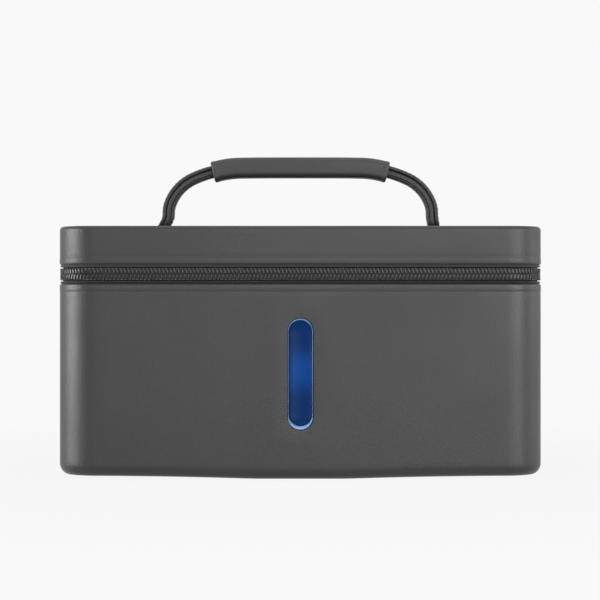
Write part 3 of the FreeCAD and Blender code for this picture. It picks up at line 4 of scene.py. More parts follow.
import bmesh
import bpy
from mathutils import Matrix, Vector


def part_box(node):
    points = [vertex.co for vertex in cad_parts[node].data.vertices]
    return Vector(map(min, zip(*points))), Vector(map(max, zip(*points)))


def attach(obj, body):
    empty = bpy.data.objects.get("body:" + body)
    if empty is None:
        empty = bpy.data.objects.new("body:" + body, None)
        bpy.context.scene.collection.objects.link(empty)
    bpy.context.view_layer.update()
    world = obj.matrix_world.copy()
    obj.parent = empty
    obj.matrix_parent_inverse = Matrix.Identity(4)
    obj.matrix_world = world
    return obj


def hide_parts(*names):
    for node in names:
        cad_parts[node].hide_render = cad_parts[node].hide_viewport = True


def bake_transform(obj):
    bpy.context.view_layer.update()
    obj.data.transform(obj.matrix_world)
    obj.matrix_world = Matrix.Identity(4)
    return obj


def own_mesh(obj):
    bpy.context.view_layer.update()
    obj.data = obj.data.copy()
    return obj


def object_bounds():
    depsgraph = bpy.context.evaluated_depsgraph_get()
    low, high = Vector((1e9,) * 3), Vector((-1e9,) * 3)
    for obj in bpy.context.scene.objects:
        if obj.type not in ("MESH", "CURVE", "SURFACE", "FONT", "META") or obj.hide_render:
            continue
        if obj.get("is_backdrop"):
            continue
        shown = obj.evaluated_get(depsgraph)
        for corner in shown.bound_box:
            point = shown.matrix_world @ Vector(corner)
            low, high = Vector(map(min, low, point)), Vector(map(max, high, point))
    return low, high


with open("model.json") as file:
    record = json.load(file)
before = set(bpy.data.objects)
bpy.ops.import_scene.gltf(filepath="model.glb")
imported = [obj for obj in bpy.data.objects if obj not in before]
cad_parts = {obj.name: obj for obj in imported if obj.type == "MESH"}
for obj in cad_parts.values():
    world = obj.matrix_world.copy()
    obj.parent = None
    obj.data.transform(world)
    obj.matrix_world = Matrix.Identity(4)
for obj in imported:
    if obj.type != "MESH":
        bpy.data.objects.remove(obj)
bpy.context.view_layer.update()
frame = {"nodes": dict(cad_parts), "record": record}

# Camera, floor and light: the camera is level with the middle of the zipped bag, which stands on
# a white ground. Soft boxes at the left and right give the upright highlights on its corners,
# the left one stronger, and a weak light from above and a fill from the front lift the rest.

PAPER = (0.947, 0.947, 0.947, 1)
CAMERA_AT = (-0.0002, -1.435, 0.112)


def add_light(name, at, towards, width, height, power):
    lamp = bpy.data.lights.new(name, "AREA")
    lamp.shape, lamp.size, lamp.size_y, lamp.energy = "RECTANGLE", width, height, power
    light = bpy.data.objects.new(name, lamp)
    light.location = at
    light.rotation_euler = (Vector(towards) - Vector(at)).to_track_quat("-Z", "Y").to_euler()
    bpy.context.scene.collection.objects.link(light)


camera = bpy.data.objects.new("camera", bpy.data.cameras.new("camera"))
camera.location = CAMERA_AT
camera.rotation_euler = (math.radians(90), 0, 0)
camera.data.lens = 128.9
bpy.context.scene.collection.objects.link(camera)
bpy.context.scene.camera = camera
bpy.context.scene.view_settings.view_transform = "Standard"

add_light("left_box", (-1.25, -0.32, 0.06), (-0.14, -0.08, 0.06), 0.75, 0.8, 25)
add_light("right_box", (1.02, -1.05, 0.08), (0.13, -0.09, 0.06), 0.6, 0.9, 14.5)
add_light("right_edge", (1.30, 0.05, 0.15), (0.14, -0.08, 0.06), 0.6, 1.0, 5)
add_light("top_box", (0.1, -0.1, 1.5), (0, 0, 0.1), 1.2, 1.0, 5.5)
add_light("front_fill", (0.4, -1.9, 0.45), (0, 0, 0.1), 1.2, 0.8, 11)


def shows_paper(tree):
    """1 for rays that show the background: the camera's, and those that gloss and glass send."""
    rays = tree.nodes.new("ShaderNodeLightPath")
    seen = rays.outputs["Is Camera Ray"]
    for ray in ("Is Glossy Ray", "Is Transmission Ray"):
        either = tree.nodes.new("ShaderNodeMath")
        either.operation = "MAXIMUM"
        tree.links.new(seen, either.inputs[0])
        tree.links.new(rays.outputs[ray], either.inputs[1])
        seen = either.outputs[0]
    return seen


world = bpy.data.worlds.new("world")
bpy.context.scene.world = world
world.use_nodes = True
tree = world.node_tree
tree.nodes.clear()
soft, paper = (tree.nodes.new("ShaderNodeBackground") for _ in range(2))
soft.inputs["Color"].default_value = (0.93, 0.95, 1, 1)
soft.inputs["Strength"].default_value = 0.42
paper.inputs["Color"].default_value = PAPER
both = tree.nodes.new("ShaderNodeMixShader")
tree.links.new(shows_paper(tree), both.inputs[0])
tree.links.new(soft.outputs[0], both.inputs[1])
tree.links.new(paper.outputs[0], both.inputs[2])
end = tree.nodes.new("ShaderNodeOutputWorld")
tree.links.new(both.outputs[0], end.inputs[0])

bpy.ops.mesh.primitive_plane_add(size=90)
floor = bpy.context.object
floor.name = "floor"
floor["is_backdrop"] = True
floor_look = bpy.data.materials.new("floor")
floor_look.use_nodes = True
tree = floor_look.node_tree
tree.nodes.clear()
place = tree.nodes.new("ShaderNodeTexCoord")
far = tree.nodes.new("ShaderNodeVectorMath")
far.operation = "LENGTH"
tree.links.new(place.outputs["Object"], far.inputs[0])
fade = tree.nodes.new("ShaderNodeMapRange")
fade.interpolation_type = "SMOOTHSTEP"
tree.links.new(far.outputs["Value"], fade.inputs[0])
for socket, value in enumerate((0.15, 0.6, 0.94, 1.0), 1):
    fade.inputs[socket].default_value = value
share = tree.nodes.new("ShaderNodeMath")
share.operation = "MULTIPLY"
tree.links.new(fade.outputs[0], share.inputs[1])
tree.links.new(shows_paper(tree), share.inputs[0])
matt = tree.nodes.new("ShaderNodeBsdfDiffuse")
matt.inputs["Color"].default_value = (0.62, 0.62, 0.62, 1)
glow = tree.nodes.new("ShaderNodeEmission")
glow.inputs["Color"].default_value = PAPER
both = tree.nodes.new("ShaderNodeMixShader")
tree.links.new(share.outputs[0], both.inputs[0])
tree.links.new(matt.outputs[0], both.inputs[1])
tree.links.new(glow.outputs[0], both.inputs[2])
end = tree.nodes.new("ShaderNodeOutputMaterial")
tree.links.new(both.outputs[0], end.inputs[0])
floor.data.materials.append(floor_look)


# Base: a box of stiff board covered in thin coated leather, which is glued on and turned in over
# the rim. Its floor is bowed, so that the middle rests on the table. The front has a pill-shaped
# window for the button, and the back a small opening for the charging port.

HALF_W, HALF_D, CORNER = 0.1525, 0.095, 0.024
RIM, MESH_Z, EDGE, TOP = 0.122, 0.1282, 0.1344, 0.1584
REST_HALF, RISE = 0.030, 0.0019
WALL, SKIN, HEM = 0.003, 0.001, 0.007
WINDOW_W, WINDOW_H, WINDOW_Z = 0.016, 0.0694, 0.0657
PORT_X, PORT_Z, PORT_W, PORT_H = -0.045, 0.0139, 0.020, 0.0078


class Value:
    """A shader value that takes part in sums."""

    def __init__(self, tree, socket):
        self.tree, self.socket = tree, socket

    def node(self, kind, inputs=(), output=0, **settings):
        """Adds a node, feeds its inputs with values or numbers, and gives one of its outputs."""
        made = self.tree.nodes.new(kind)
        for name, setting in settings.items():
            setattr(made, name, setting)
        for key, value in dict(inputs).items():
            if isinstance(value, Value):
                self.tree.links.new(value.socket, made.inputs[key])
            else:
                made.inputs[key].default_value = value
        return Value(self.tree, made.outputs[output])

    def math(self, operation, *others):
        return self.node("ShaderNodeMath", enumerate((self, *others)), operation=operation)

    def __add__(self, other):
        return self.math("ADD", other)

    def __mul__(self, other):
        return self.math("MULTIPLY", other)

    def __sub__(self, other):
        return self.math("SUBTRACT", other)

    def __truediv__(self, other):
        return self.math("DIVIDE", other)

    def __pow__(self, other):
        return self.math("POWER", other)

    def __rsub__(self, other):
        return self * -1 + other

    def __rtruediv__(self, other):
        return self ** -1 * other

    __radd__, __rmul__ = __add__, __mul__


def part(value, axis):
    """One of the three numbers of a coordinate."""
    return value.node("ShaderNodeSeparateXYZ", {0: value}, "XYZ".index(axis))


def ramp(value, low, high, start=0.0, end=1.0):
    """Runs smoothly from start to end as the value goes from low to high."""
    return value.node("ShaderNodeMapRange", {0: value, 1: low, 2: high, 3: start, 4: end},
                      interpolation_type="SMOOTHSTEP")


def blend(share, low, high):
    """A colour between two others."""
    return share.node("ShaderNodeMix", {0: share, 6: low, 7: high}, 2, data_type="RGBA")


def noise(at, scale, detail=3.0, roughness=0.5):
    return at.node("ShaderNodeTexNoise", {
        "Vector": at, "Scale": scale, "Detail": detail, "Roughness": roughness})


def cells(at, scale):
    """How far a place is from the nearest border between cells."""
    return at.node("ShaderNodeTexVoronoi", {"Vector": at, "Scale": scale},
                   feature="DISTANCE_TO_EDGE")


def bump(height, distance):
    return height.node("ShaderNodeBump", {"Height": height, "Distance": distance, "Strength": 1.0})


def grey(level, tint=(1, 1, 1)):
    return (level * tint[0], level * tint[1], level * tint[2], 1)


def material(name, where="Object", **constants):
    """A material with its shader and the coordinates that its patterns use."""
    made = bpy.data.materials.new(name)
    made.use_nodes = True
    tree = made.node_tree
    shader = tree.nodes["Principled BSDF"]
    for key, value in constants.items():
        shader.inputs[key.replace("_", " ")].default_value = value
    at = Value(tree, tree.nodes.new("ShaderNodeTexCoord").outputs[where])
    return made, shader, at


def wire(shader, **values):
    """Feeds the shader's sockets with values that vary over the surface."""
    for key, value in values.items():
        value.tree.links.new(value.socket, shader.inputs[key.replace("_", " ")])


def leather(name, level, rough, grain, wear=0.35):
    """Coated leather: a fine pebble, slow changes of tone, and edges worn paler and smoother."""
    made, shader, at = material(name, Specular_IOR_Level=0.5)
    worn = at.node("ShaderNodeAttribute", output=2, attribute_name="wear")
    slow = noise(at, 14, 3)
    pebble = cells(at, 1100)
    fine = noise(at, 2600, 2)
    tone = ramp(slow, 0.3, 0.7, 0.93, 1.07) * ramp(pebble, 0, 0.12, 0.86, 1.0)
    share = (tone - 0.7) * 2 + worn * ramp(noise(at, 160, 4), 0.35, 0.7, 0, wear)
    low, high = grey(level * 0.7), grey(level * 1.25, (1, 1, 1.01))
    wire(shader, Base_Color=blend(share, low, high),
         Roughness=ramp(slow, 0.3, 0.7, rough + 0.04, rough - 0.04) - worn * 0.06,
         Normal=bump(ramp(pebble, 0, 0.2) * 0.7 + fine * 0.5, grain))
    return made


def piece(bm, name, body, look, replaces=(), sharp=40):
    """Makes an object of a mesh, shades it, and hangs it on its body."""
    bmesh.ops.recalc_face_normals(bm, faces=bm.faces)
    mesh = bpy.data.meshes.new(name)
    bm.to_mesh(mesh)
    bm.free()
    mesh.shade_smooth()
    mesh.set_sharp_from_angle(angle=math.radians(sharp))
    made = bpy.data.objects.new(name, mesh)
    bpy.context.scene.collection.objects.link(made)
    mesh.materials.append(look)
    if body:
        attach(made, body)
    if replaces:
        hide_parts(*replaces)
    return made


COLUMNS, SIDES, ARC = 28, 16, 12
CHAIN = COLUMNS + 2 * ARC + 1


def front_chain(sign):
    """Stations along the front (-1) or back (1), from left to right: x, y and outward x, y."""
    chain = []
    straight = HALF_W - CORNER
    for k in range(ARC + 1):
        turn = math.radians(90 * k / ARC)
        out = (-math.cos(turn), sign * math.sin(turn))
        chain.append((-straight + CORNER * out[0],
                      sign * (HALF_D - CORNER) + CORNER * out[1], *out))
    chain += [(straight * (2 * k / COLUMNS - 1), sign * HALF_D, 0, sign)
              for k in range(1, COLUMNS)]
    chain += [(-x, y, -out_x, out_y) for x, y, out_x, out_y in chain[ARC::-1]]
    return chain


def ring_stations():
    """Stations all round: the front, the right side, the back and the left side, with runs."""
    mids = [(HALF_D - CORNER) * (2 * m / SIDES - 1) for m in range(1, SIDES)]
    points = front_chain(-1) + [(HALF_W, y, 1, 0) for y in mids]
    points += front_chain(1)[::-1] + [(-HALF_W, -y, -1, 0) for y in mids]
    run, stations = 0, []
    for k, (x, y, *out) in enumerate(points):
        stations.append((x, y, *out, run))
        next_x, next_y = points[(k + 1) % len(points)][:2]
        run += math.hypot(next_x - x, next_y - y)
    return stations, run


STATIONS, ROUND = ring_stations()


def bow(x, z):
    """How far the underside is lifted at x, fading out up the wall."""
    reach = max(0, min(1, (abs(x) - REST_HALF) / (HALF_W - REST_HALF)))
    return RISE * (1 - (1 - reach) ** 2.2) * max(0, 1 - z / 0.04)


def loft(profile, wear=(), lift=None):
    """Carries a profile of inset and height round the outline; gives the mesh and its rows."""
    bm = bmesh.new()
    layer = bm.verts.layers.float.new("wear")
    uv = bm.loops.layers.uv.new("UVMap")
    rows = []
    for index, (inset, z) in enumerate(profile):
        row = []
        for x, y, out_x, out_y, _ in STATIONS:
            at = Vector((x - out_x * inset, y - out_y * inset, z))
            at.z += lift(at.x, z) if lift else 0
            vert = bm.verts.new(at)
            vert[layer] = wear[index] if index < len(wear) else 0
            row.append(vert)
        rows.append(row)
    along = [station[4] for station in STATIONS] + [ROUND]
    up = [0]
    for (a, b), (c, d) in zip(profile, profile[1:]):
        up.append(up[-1] + math.hypot(c - a, d - b))
    for j in range(len(rows) - 1):
        for k in range(len(STATIONS)):
            n = (k + 1) % len(STATIONS)
            face = bm.faces.new((rows[j][k], rows[j][n], rows[j + 1][n], rows[j + 1][k]))
            corners = ((k, j), (k + 1, j), (k + 1, j + 1), (k, j + 1))
            for loop, (a, b) in zip(face.loops, corners):
                loop[uv].uv = (along[a], up[b])
    return bm, rows


def cap(bm, row):
    """Fills a row with a grid whose columns run from front to back."""
    grid = []
    for k in range(CHAIN):
        front, back = row[k], row[2 * CHAIN + SIDES - 2 - k]
        if k == 0:
            column = [front, *row[:-SIDES:-1], back]
        elif k == CHAIN - 1:
            column = [front, *row[CHAIN:CHAIN + SIDES - 1], back]
        else:
            column = [front]
            column += [bm.verts.new(front.co.lerp(back.co, m / SIDES)) for m in range(1, SIDES)]
            column.append(back)
        grid.append(column)
    for a, b in zip(grid, grid[1:]):
        for m in range(SIDES):
            bm.faces.new((a[m], b[m], b[m + 1], a[m + 1]))


def rounded(centre, radius, start, end, steps=6):
    """Points of a profile's round corner, from one angle to another, in degrees."""
    turns = [math.radians(start + (end - start) * k / steps) for k in range(steps + 1)]
    return [(centre[0] - radius * math.cos(t), centre[1] + radius * math.sin(t)) for t in turns]


def pill(width, height, arc=20, straight=18):
    """Stations round an upright pill: across, up, and outward across, up."""
    r, half = width / 2, height / 2 - width / 2
    points = []
    for side in (1, -1):
        for k in range(arc):
            turn = math.radians(180 * k / arc)
            points.append((side * r * math.cos(turn), side * (half + r * math.sin(turn)),
                           side * math.cos(turn), side * math.sin(turn)))
        points += [(-side * r, side * half * (1 - 2 * k / straight), -side, 0)
                   for k in range(straight)]
    return points


def rounded_slot(width, height, radius, arc=6):
    """Stations round a rectangle with round corners, in the same form."""
    points = []
    for quarter in range(4):
        sx, sz = ((1, 1), (-1, 1), (-1, -1), (1, -1))[quarter]
        for k in range(arc + 1):
            turn = math.radians(90 * (quarter + k / arc))
            out = (math.cos(turn), math.sin(turn))
            points.append((sx * (width / 2 - radius) + radius * out[0],
                           sz * (height / 2 - radius) + radius * out[1], *out))
    return points


def clear(bm, rows, columns):
    """Takes out a block of a wall and gives the corners round the gap."""
    block = [[row[k] for k in columns] for row in rows]
    inside = {vert for line in block[1:-1] for vert in line[1:-1]}
    edge = block[0] + [line[-1] for line in block[1:]] + block[-1][-2::-1]
    edge += [line[0] for line in block[-2:0:-1]]
    held = set(edge) | inside
    gone = {face for line in block for vert in line for face in vert.link_faces
            if all(v in held for v in face.verts)}
    bmesh.ops.delete(bm, geom=list(gone), context="FACES_KEEP_BOUNDARY")
    bmesh.ops.delete(bm, geom=[vert for vert in inside if vert.is_valid], context="VERTS")
    return edge


def open_window(bm, near, far, columns, centre, shape, lip=0.0006):
    """Opens a shaped window through the near and far skins of a flat wall, its edge rolled in."""
    layer = bm.verts.layers.float.get("wear")
    edges = clear(bm, near, columns), clear(bm, far, columns)
    near_y, far_y = (edge[0].co.y for edge in edges)
    side = math.copysign(1, near_y)
    steps = [(lip * (1 - math.sin(t)), near_y - side * lip * (1 - math.cos(t)))
             for t in (math.radians(15 * k) for k in range(7))]
    steps.append((0, far_y))
    rings = []
    for grow, y in steps:
        rings.append([bm.verts.new((centre[0] + x + out_x * grow, y, centre[1] + z + out_z * grow))
                      for x, z, out_x, out_z in shape])
        for vert in rings[-1]:
            vert[layer] = 0.6
    for a, b in zip(rings, rings[1:]):
        for k in range(len(a)):
            n = (k + 1) % len(a)
            bm.faces.new((a[k], a[n], b[n], b[k]))
    for edge, ring in zip(edges, (rings[0], rings[-1])):
        border = [bm.edges.get((a, b)) for line in (edge, ring)
                  for a, b in zip(line, line[1:] + line[:1])]
        bmesh.ops.triangle_fill(bm, edges=border, use_beauty=True)


def span(rows, profile, inset, low, high):
    """The rows of one skin between two levels, from the lower."""
    picked = [(z, row) for row, (at, z) in zip(rows, profile)
              if at == inset and low - 0.00001 <= z <= high + 0.00001]
    return [row for z, row in sorted(picked, key=lambda pair: pair[0])]


def back(k):
    """The station of the back wall's column k."""
    return 2 * CHAIN + SIDES - 2 - k


LEATHER = leather("shell_leather", 0.014, 0.42, 0.00004)

fillet = [(0.8 * inset, z) for inset, z in rounded((0.0075, 0.0075), 0.0075, -90, 0, 8)]
wall_levels = [0.0105, 0.021, 0.0285] + [0.0285 + 0.0082 * k for k in range(1, 10)]
wall_levels += [0.1104, 0.1140]
lip = [(0, 0.1168), (0.00008, 0.1172), (-0.00006, 0.1176), (-0.00009, 0.1195),
       (-0.00008, 0.1212), (0.00004, 0.1217), (0.00028, 0.12195), (0.00055, RIM)]
base_profile = fillet[:-1] + [(0, 0.0075)] + [(0, z) for z in wall_levels] + lip
base_wear = [0.25] * 3 + [0.5] * 4 + [0.2] * 2 + [0] * len(wall_levels)
base_wear += [0, 0.1, 0.3, 0.2, 0.5, 0.8, 1, 0.8]
inner = [(SKIN - 0.0001, RIM - 0.0002), (SKIN, RIM - HEM), (WALL, RIM - HEM - 0.00005),
         (WALL, 0.1104), (WALL, 0.021), (WALL, 0.0066), (WALL + 0.0006, 0.006)]
bm, rows = loft(base_profile + inner, base_wear, bow)
cap(bm, rows[0])
cap(bm, rows[-1])
profile = base_profile + inner
FRONT = range(ARC + 12, ARC + 17)
open_window(bm, span(rows, profile, 0, 0.021, 0.1104), span(rows, profile, WALL, 0.021, 0.1104),
            FRONT, (0, WINDOW_Z), pill(WINDOW_W, WINDOW_H))
open_window(bm, span(rows, profile, 0, 0.007, 0.021), span(rows, profile, WALL, 0.006, 0.021),
            [back(k) for k in range(ARC + 7, ARC + 12)], (PORT_X, PORT_Z),
            rounded_slot(PORT_W, PORT_H, 0.0002), 0.0003)
piece(bm, "base_cover", "base", LEATHER, ["base_shell"])



# Lid: a shallow tray of the same board and leather. Its top is a flat panel with a fine groove
# pressed in beside the edge, and its shoulder is turned over a small radius. The hem at its lower
# edge is folded inwards as the base's is, and the zipper's tape is sewn in behind it.

lid_lip = [(0.00055, EDGE), (0.00028, EDGE + 0.00005), (0.00002, EDGE + 0.0003),
           (-0.00014, EDGE + 0.0008), (-0.00013, EDGE + 0.0025), (-0.00006, EDGE + 0.0043),
           (0.00008, EDGE + 0.0046), (0, EDGE + 0.0050)]
lid_wall = [(0, EDGE + 0.0050 + 0.0034 * k) for k in range(1, 5)]
shoulder = rounded((0.0024, TOP - 0.0024), 0.0024, 0, 90, 8)
lid_top = [(0.0045, TOP), (0.0058, TOP - 0.00003), (0.0062, TOP - 0.0003),
           (0.0066, TOP - 0.00003), (0.0085, TOP)]
lid_wear = [0.8, 1, 0.8, 0.5, 0.2, 0.3, 0.1, 0] + [0] * 4
lid_wear += [0.2, 0.3, 0.5, 0.6, 0.6, 0.5, 0.3, 0.2]
lid_inner = [(0.0085, TOP - WALL), (WALL, TOP - WALL - 0.0006), (WALL, EDGE + HEM + 0.00005),
             (SKIN, EDGE + HEM), (SKIN - 0.0001, EDGE + 0.0002)]
bm, rows = loft(lid_lip + lid_wall + shoulder + lid_top, lid_wear)
cap(bm, rows[-1])
inner_bm, inner_rows = loft(lid_inner)
cap(inner_bm, inner_rows[0])
spare = bpy.data.meshes.new("spare")
inner_bm.to_mesh(spare)
inner_bm.free()
bm.from_mesh(spare)
bpy.data.meshes.remove(spare)
piece(bm, "lid_cover", "lid", LEATHER, ["lid_shell"])


# Zipper: each half is a woven tape sewn in behind the hem, with a coil of flattened nylon wire
# sewn over a filler cord to its outer face. The heads of the two coils lock into each other half
# a pitch apart. Both halves end beside the hinge cloth at the back.

HALF_HINGE = 0.104
PITCH, LEG, COIL_MID, COIL_IN = 0.0024, 0.0036, 0.0017, 0.00078
TAPE_THICK = 0.0006
STRAIGHT_W, STRAIGHT_D, TURN = HALF_W - CORNER, HALF_D - CORNER, CORNER * math.pi / 2
LEGS = [(STRAIGHT_W, (0, HALF_D), (0, 1)), (TURN, (-STRAIGHT_W, STRAIGHT_D), (0, 1)),
        (2 * STRAIGHT_D, (-HALF_W, STRAIGHT_D), (-1, 0)),
        (TURN, (-STRAIGHT_W, -STRAIGHT_D), (-1, 0)),
        (2 * STRAIGHT_W, (-STRAIGHT_W, -HALF_D), (0, -1)),
        (TURN, (STRAIGHT_W, -STRAIGHT_D), (0, -1)),
        (2 * STRAIGHT_D, (HALF_W, -STRAIGHT_D), (1, 0)), (TURN, (STRAIGHT_W, STRAIGHT_D), (1, 0)),
        (STRAIGHT_W, (STRAIGHT_W, HALF_D), (0, 1))]


def plan_at(run):
    """A place on the outline by its run from the middle of the back, going by the left side."""
    for k, (length, (x, y), (out_x, out_y)) in enumerate(LEGS):
        if run <= length or k == 8:
            break
        run -= length
    if k % 2 == 0:
        return x - out_y * run, y + out_x * run, out_x, out_y
    turn = run / CORNER
    out = (out_x * math.cos(turn) - out_y * math.sin(turn),
           out_y * math.cos(turn) + out_x * math.sin(turn))
    return x + CORNER * out[0], y + CORNER * out[1], *out


def on_plan(run, inset, z):
    x, y, out_x, out_y = plan_at(run)
    return Vector((x - out_x * inset, y - out_y * inset, z))


def bent(value, power):
    """Raises a signed value to a power."""
    return math.copysign(abs(value) ** power, value)


def tube(bm, centres, across, wide, thick, sides=8, square=1.0):
    """A flattened tube along points; across holds the direction of its wide half-axis at each."""
    rings = []
    count = len(centres)
    for k, at in enumerate(centres):
        along = (centres[min(k + 1, count - 1)] - centres[max(k - 1, 0)]).normalized()
        side = across[k] - along * across[k].dot(along)
        side.normalize()
        up = along.cross(side)
        w, t = (size[k] if isinstance(size, list) else size for size in (wide, thick))
        turns = [2 * math.pi * (j + 0.5 * (square < 1)) / sides for j in range(sides)]
        rings.append([bm.verts.new(at + side * (w * bent(math.cos(a), square))
                                   + up * (t * bent(math.sin(a), square))) for a in turns])
    for a, b in zip(rings, rings[1:]):
        for j in range(sides):
            n = (j + 1) % sides
            bm.faces.new((a[j], a[n], b[n], b[j]))
    bm.faces.new(rings[0][::-1])
    bm.faces.new(rings[-1])


def weave(name, level, rough, warp, weft, height, painted_groove_shade=None):
    """A woven tape: raised threads each way, slightly uneven, a little paler on their crowns.

    Given a height and a half width, the band behind the coil is painted near black: painted shade."""
    made, shader, at = material(name, "UV", Specular_IOR_Level=0.25, Sheen_Weight=0.15)
    u, v = part(at, "X"), part(at, "Y")
    wave_u = (u * (2 * math.pi / warp)).math("SINE")
    wave_v = (v * (2 * math.pi / weft)).math("SINE")
    threads = wave_u * wave_v * 0.5 + 0.5
    uneven = noise(at, 900, 2)
    share = threads * 0.7 + uneven * 0.5
    colour = blend(share, grey(level * 0.55), grey(level * 1.4))
    # Painted shade: the tape is near black where it lies in the coil's groove and under the coil.
    if painted_groove_shade:
        solid = Value(at.tree, at.tree.nodes.new("ShaderNodeTexCoord").outputs["Object"])
        off = (part(solid, "Z") - painted_groove_shade[0]).math("ABSOLUTE")
        colour = blend(ramp(off, painted_groove_shade[1] - 0.0001, painted_groove_shade[1] + 0.0001), grey(0.003), colour)
    wire(shader, Base_Color=colour,
         Roughness=ramp(uneven, 0.3, 0.7, rough, rough - 0.1),
         Normal=bump(threads + uneven * 0.4, height))
    return made


def plain(name, colour, rough, scale=500, height=0.00002, metal=0.0, vary=0.12, **constants):
    """A moulded, plated or painted finish: slight unevenness in tone, gloss and surface."""
    made, shader, at = material(name, Metallic=metal, **constants)
    slow, fine = noise(at, scale / 12, 3), noise(at, scale, 3)
    share = ramp(slow, 0.3, 0.7, 0.25, 0.75) + (fine - 0.5) * 0.5
    low, high = ([c * (1 + sign * vary) for c in colour[:3]] + [1] for sign in (-1, 1))
    wire(shader, Base_Color=blend(share, low, high),
         Roughness=ramp(fine, 0.3, 0.7, rough - 0.05, rough + 0.05), Normal=bump(fine, height))
    return made


TAPE = weave("zipper_tape", 0.026, 0.8, 0.0011, 0.0009, 0.00010)
# Painted shade: the lower tape's level is far darker than the upper's, for the coil's shadow on it;
# both tapes also carry the painted groove shade.
TAPES = {name: weave(f"{name}_zipper_tape", level, 0.8, 0.0011, 0.0009, 0.00010,
                     painted_groove_shade=(MESH_Z, 0.0045))
         for name, level in (("lower_zipper", 0.006), ("upper_zipper", 0.027))}
COIL = plain("zipper_coil", (0.003, 0.003, 0.0032), 0.19, 1800, 0.000006,
             Specular_IOR_Level=0.38)
CORD = plain("filler_cord", (0.006, 0.006, 0.0062), 0.7, 3000, 0.00005)
THREAD = plain("thread", (0.016, 0.016, 0.0165), 0.35, 4000, 0.00003)


def strip(bm, start, end, section, step=0.004):
    """Carries a closed section of inset and height along part of the outline, with flat ends."""
    uv = bm.loops.layers.uv.verify()
    count = max(2, round((end - start) / step))
    runs = [start + (end - start) * k / count for k in range(count + 1)]
    rows = [[bm.verts.new(on_plan(run, *at)) for at in section] for run in runs]
    up = [0]
    for (a, b), (c, d) in zip(section, section[1:] + section[:1]):
        up.append(up[-1] + math.hypot(c - a, d - b))
    for j in range(count):
        for k in range(len(section)):
            n = (k + 1) % len(section)
            face = bm.faces.new((rows[j][k], rows[j][n], rows[j + 1][n], rows[j + 1][k]))
            for loop, (a, b) in zip(face.loops, ((j, k), (j, k + 1), (j + 1, k + 1), (j + 1, k))):
                loop[uv].uv = (runs[a], up[b])
    bm.faces.new(rows[0][::-1])
    bm.faces.new(rows[-1])


def zipper_half(name, body, sign):
    """One half of the zipper; sign is 1 for the lid's half, above the mesh line."""
    first, last = HALF_HINGE - 0.0008, ROUND - HALF_HINGE + 0.0008
    lip, deep = 0.0003, 0.0022
    bm = bmesh.new()
    front = [(deep, 0.00015), (deep, 0.0042), (deep - 0.0002, 0.0044), (lip + 0.0003, 0.0045),
             (lip, 0.0047), (lip + 0.0001, 0.0051), (SKIN + 0.00002, 0.0062),
             (SKIN + 0.00002, 0.0130)]
    rear = [(inset + TAPE_THICK, z) for inset, z in front[::-1]]
    strip(bm, first, last, [(inset, MESH_Z + sign * z) for inset, z in front + rear])
    piece(bm, f"{name}_tape_cloth", body, TAPES[name], [f"{name}_tape"])

    bm = bmesh.new()
    centres, across = [], []
    steps = 14
    start = first + 0.0035
    turns = int((last - start - 0.0035) / PITCH)
    middle, half = MESH_Z + sign * COIL_MID, 0.5 * (sign > 0)
    for k in range(turns * steps):
        phase = 2 * math.pi * k / steps
        run = start + PITCH * (k / steps + half)
        reach, depth = bent(math.sin(phase), 0.75), bent(math.cos(phase), 0.5)
        centres.append(on_plan(run, COIL_IN - 0.00030 * depth, middle - sign * reach * LEG / 2))
        _, _, out_x, out_y = plan_at(run)
        across.append(Vector((-out_y, out_x, 0)))
    tube(bm, centres, across, 0.00052, 0.00026, square=0.3)
    piece(bm, f"{name}_teeth", body, COIL, [f"{name}_coil"])

    bm = bmesh.new()
    high, low = LEG / 2 - 0.0003, 0.00014
    strip(bm, start, last - 0.0035, [
        (COIL_IN - low, middle - high * 0.8), (COIL_IN - low, middle + high * 0.8),
        (COIL_IN, middle + high), (COIL_IN + low, middle + high * 0.8),
        (COIL_IN + low, middle - high * 0.8), (COIL_IN, middle - high)])
    piece(bm, f"{name}_filler_cord", body, CORD)

    bm = bmesh.new()
    level = MESH_Z + sign * (COIL_MID + LEG / 2 - 0.00015)
    for k in range(turns):
        run = start + PITCH * (k + half - 0.62)
        points = [on_plan(run + PITCH * t, 0.0009 - 0.00085 * math.sin(math.pi * t), level)
                  for t in (0.04, 0.25, 0.5, 0.75, 0.96)]
        tube(bm, points, [Vector((0, 0, 1))] * 5, [0.0001, 0.0002, 0.00024, 0.0002, 0.0001],
             [0.0001, 0.00016, 0.00018, 0.00016, 0.0001], 6)
    piece(bm, f"{name}_coil_stitches", body, THREAD)


zipper_half("lower_zipper", "base", -1)
zipper_half("upper_zipper", "lid", 1)


# Topstitching: one row of black thread in each turned hem, beside the zipper. It holds the
# leather's turning and the zipper's tape, and each stitch sinks at its ends.

def topstitch(name, body, z, inset=-0.00006, length=0.0024, gap=0.0008):
    bm = bmesh.new()
    count = round(ROUND / (length + gap))
    pitch = ROUND / count
    for k in range(count):
        run = pitch * k
        points = [on_plan(run + (pitch - gap) * t, inset + 0.0002 * (2 * t - 1) ** 2, z)
                  for t in (0, 0.15, 0.5, 0.85, 1)]
        tube(bm, points, [Vector((0, 0, 1))] * 5, [0.00006, 0.00018, 0.0002, 0.00018, 0.00006],
             [0.00006, 0.00012, 0.00014, 0.00012, 0.00006], 6)
    piece(bm, name, body, THREAD)


topstitch("base_topstitch", "base", RIM - 0.0019)
topstitch("lid_topstitch", "lid", EDGE + 0.0031)


# Handle: two layers of leather strap, stitched together over a steel strip and riveted to the
# lid's anchors, with a padded sleeve for the hand at the top. The layers' edges are rounded, and
# a groove runs along the inner layer where it is folded.

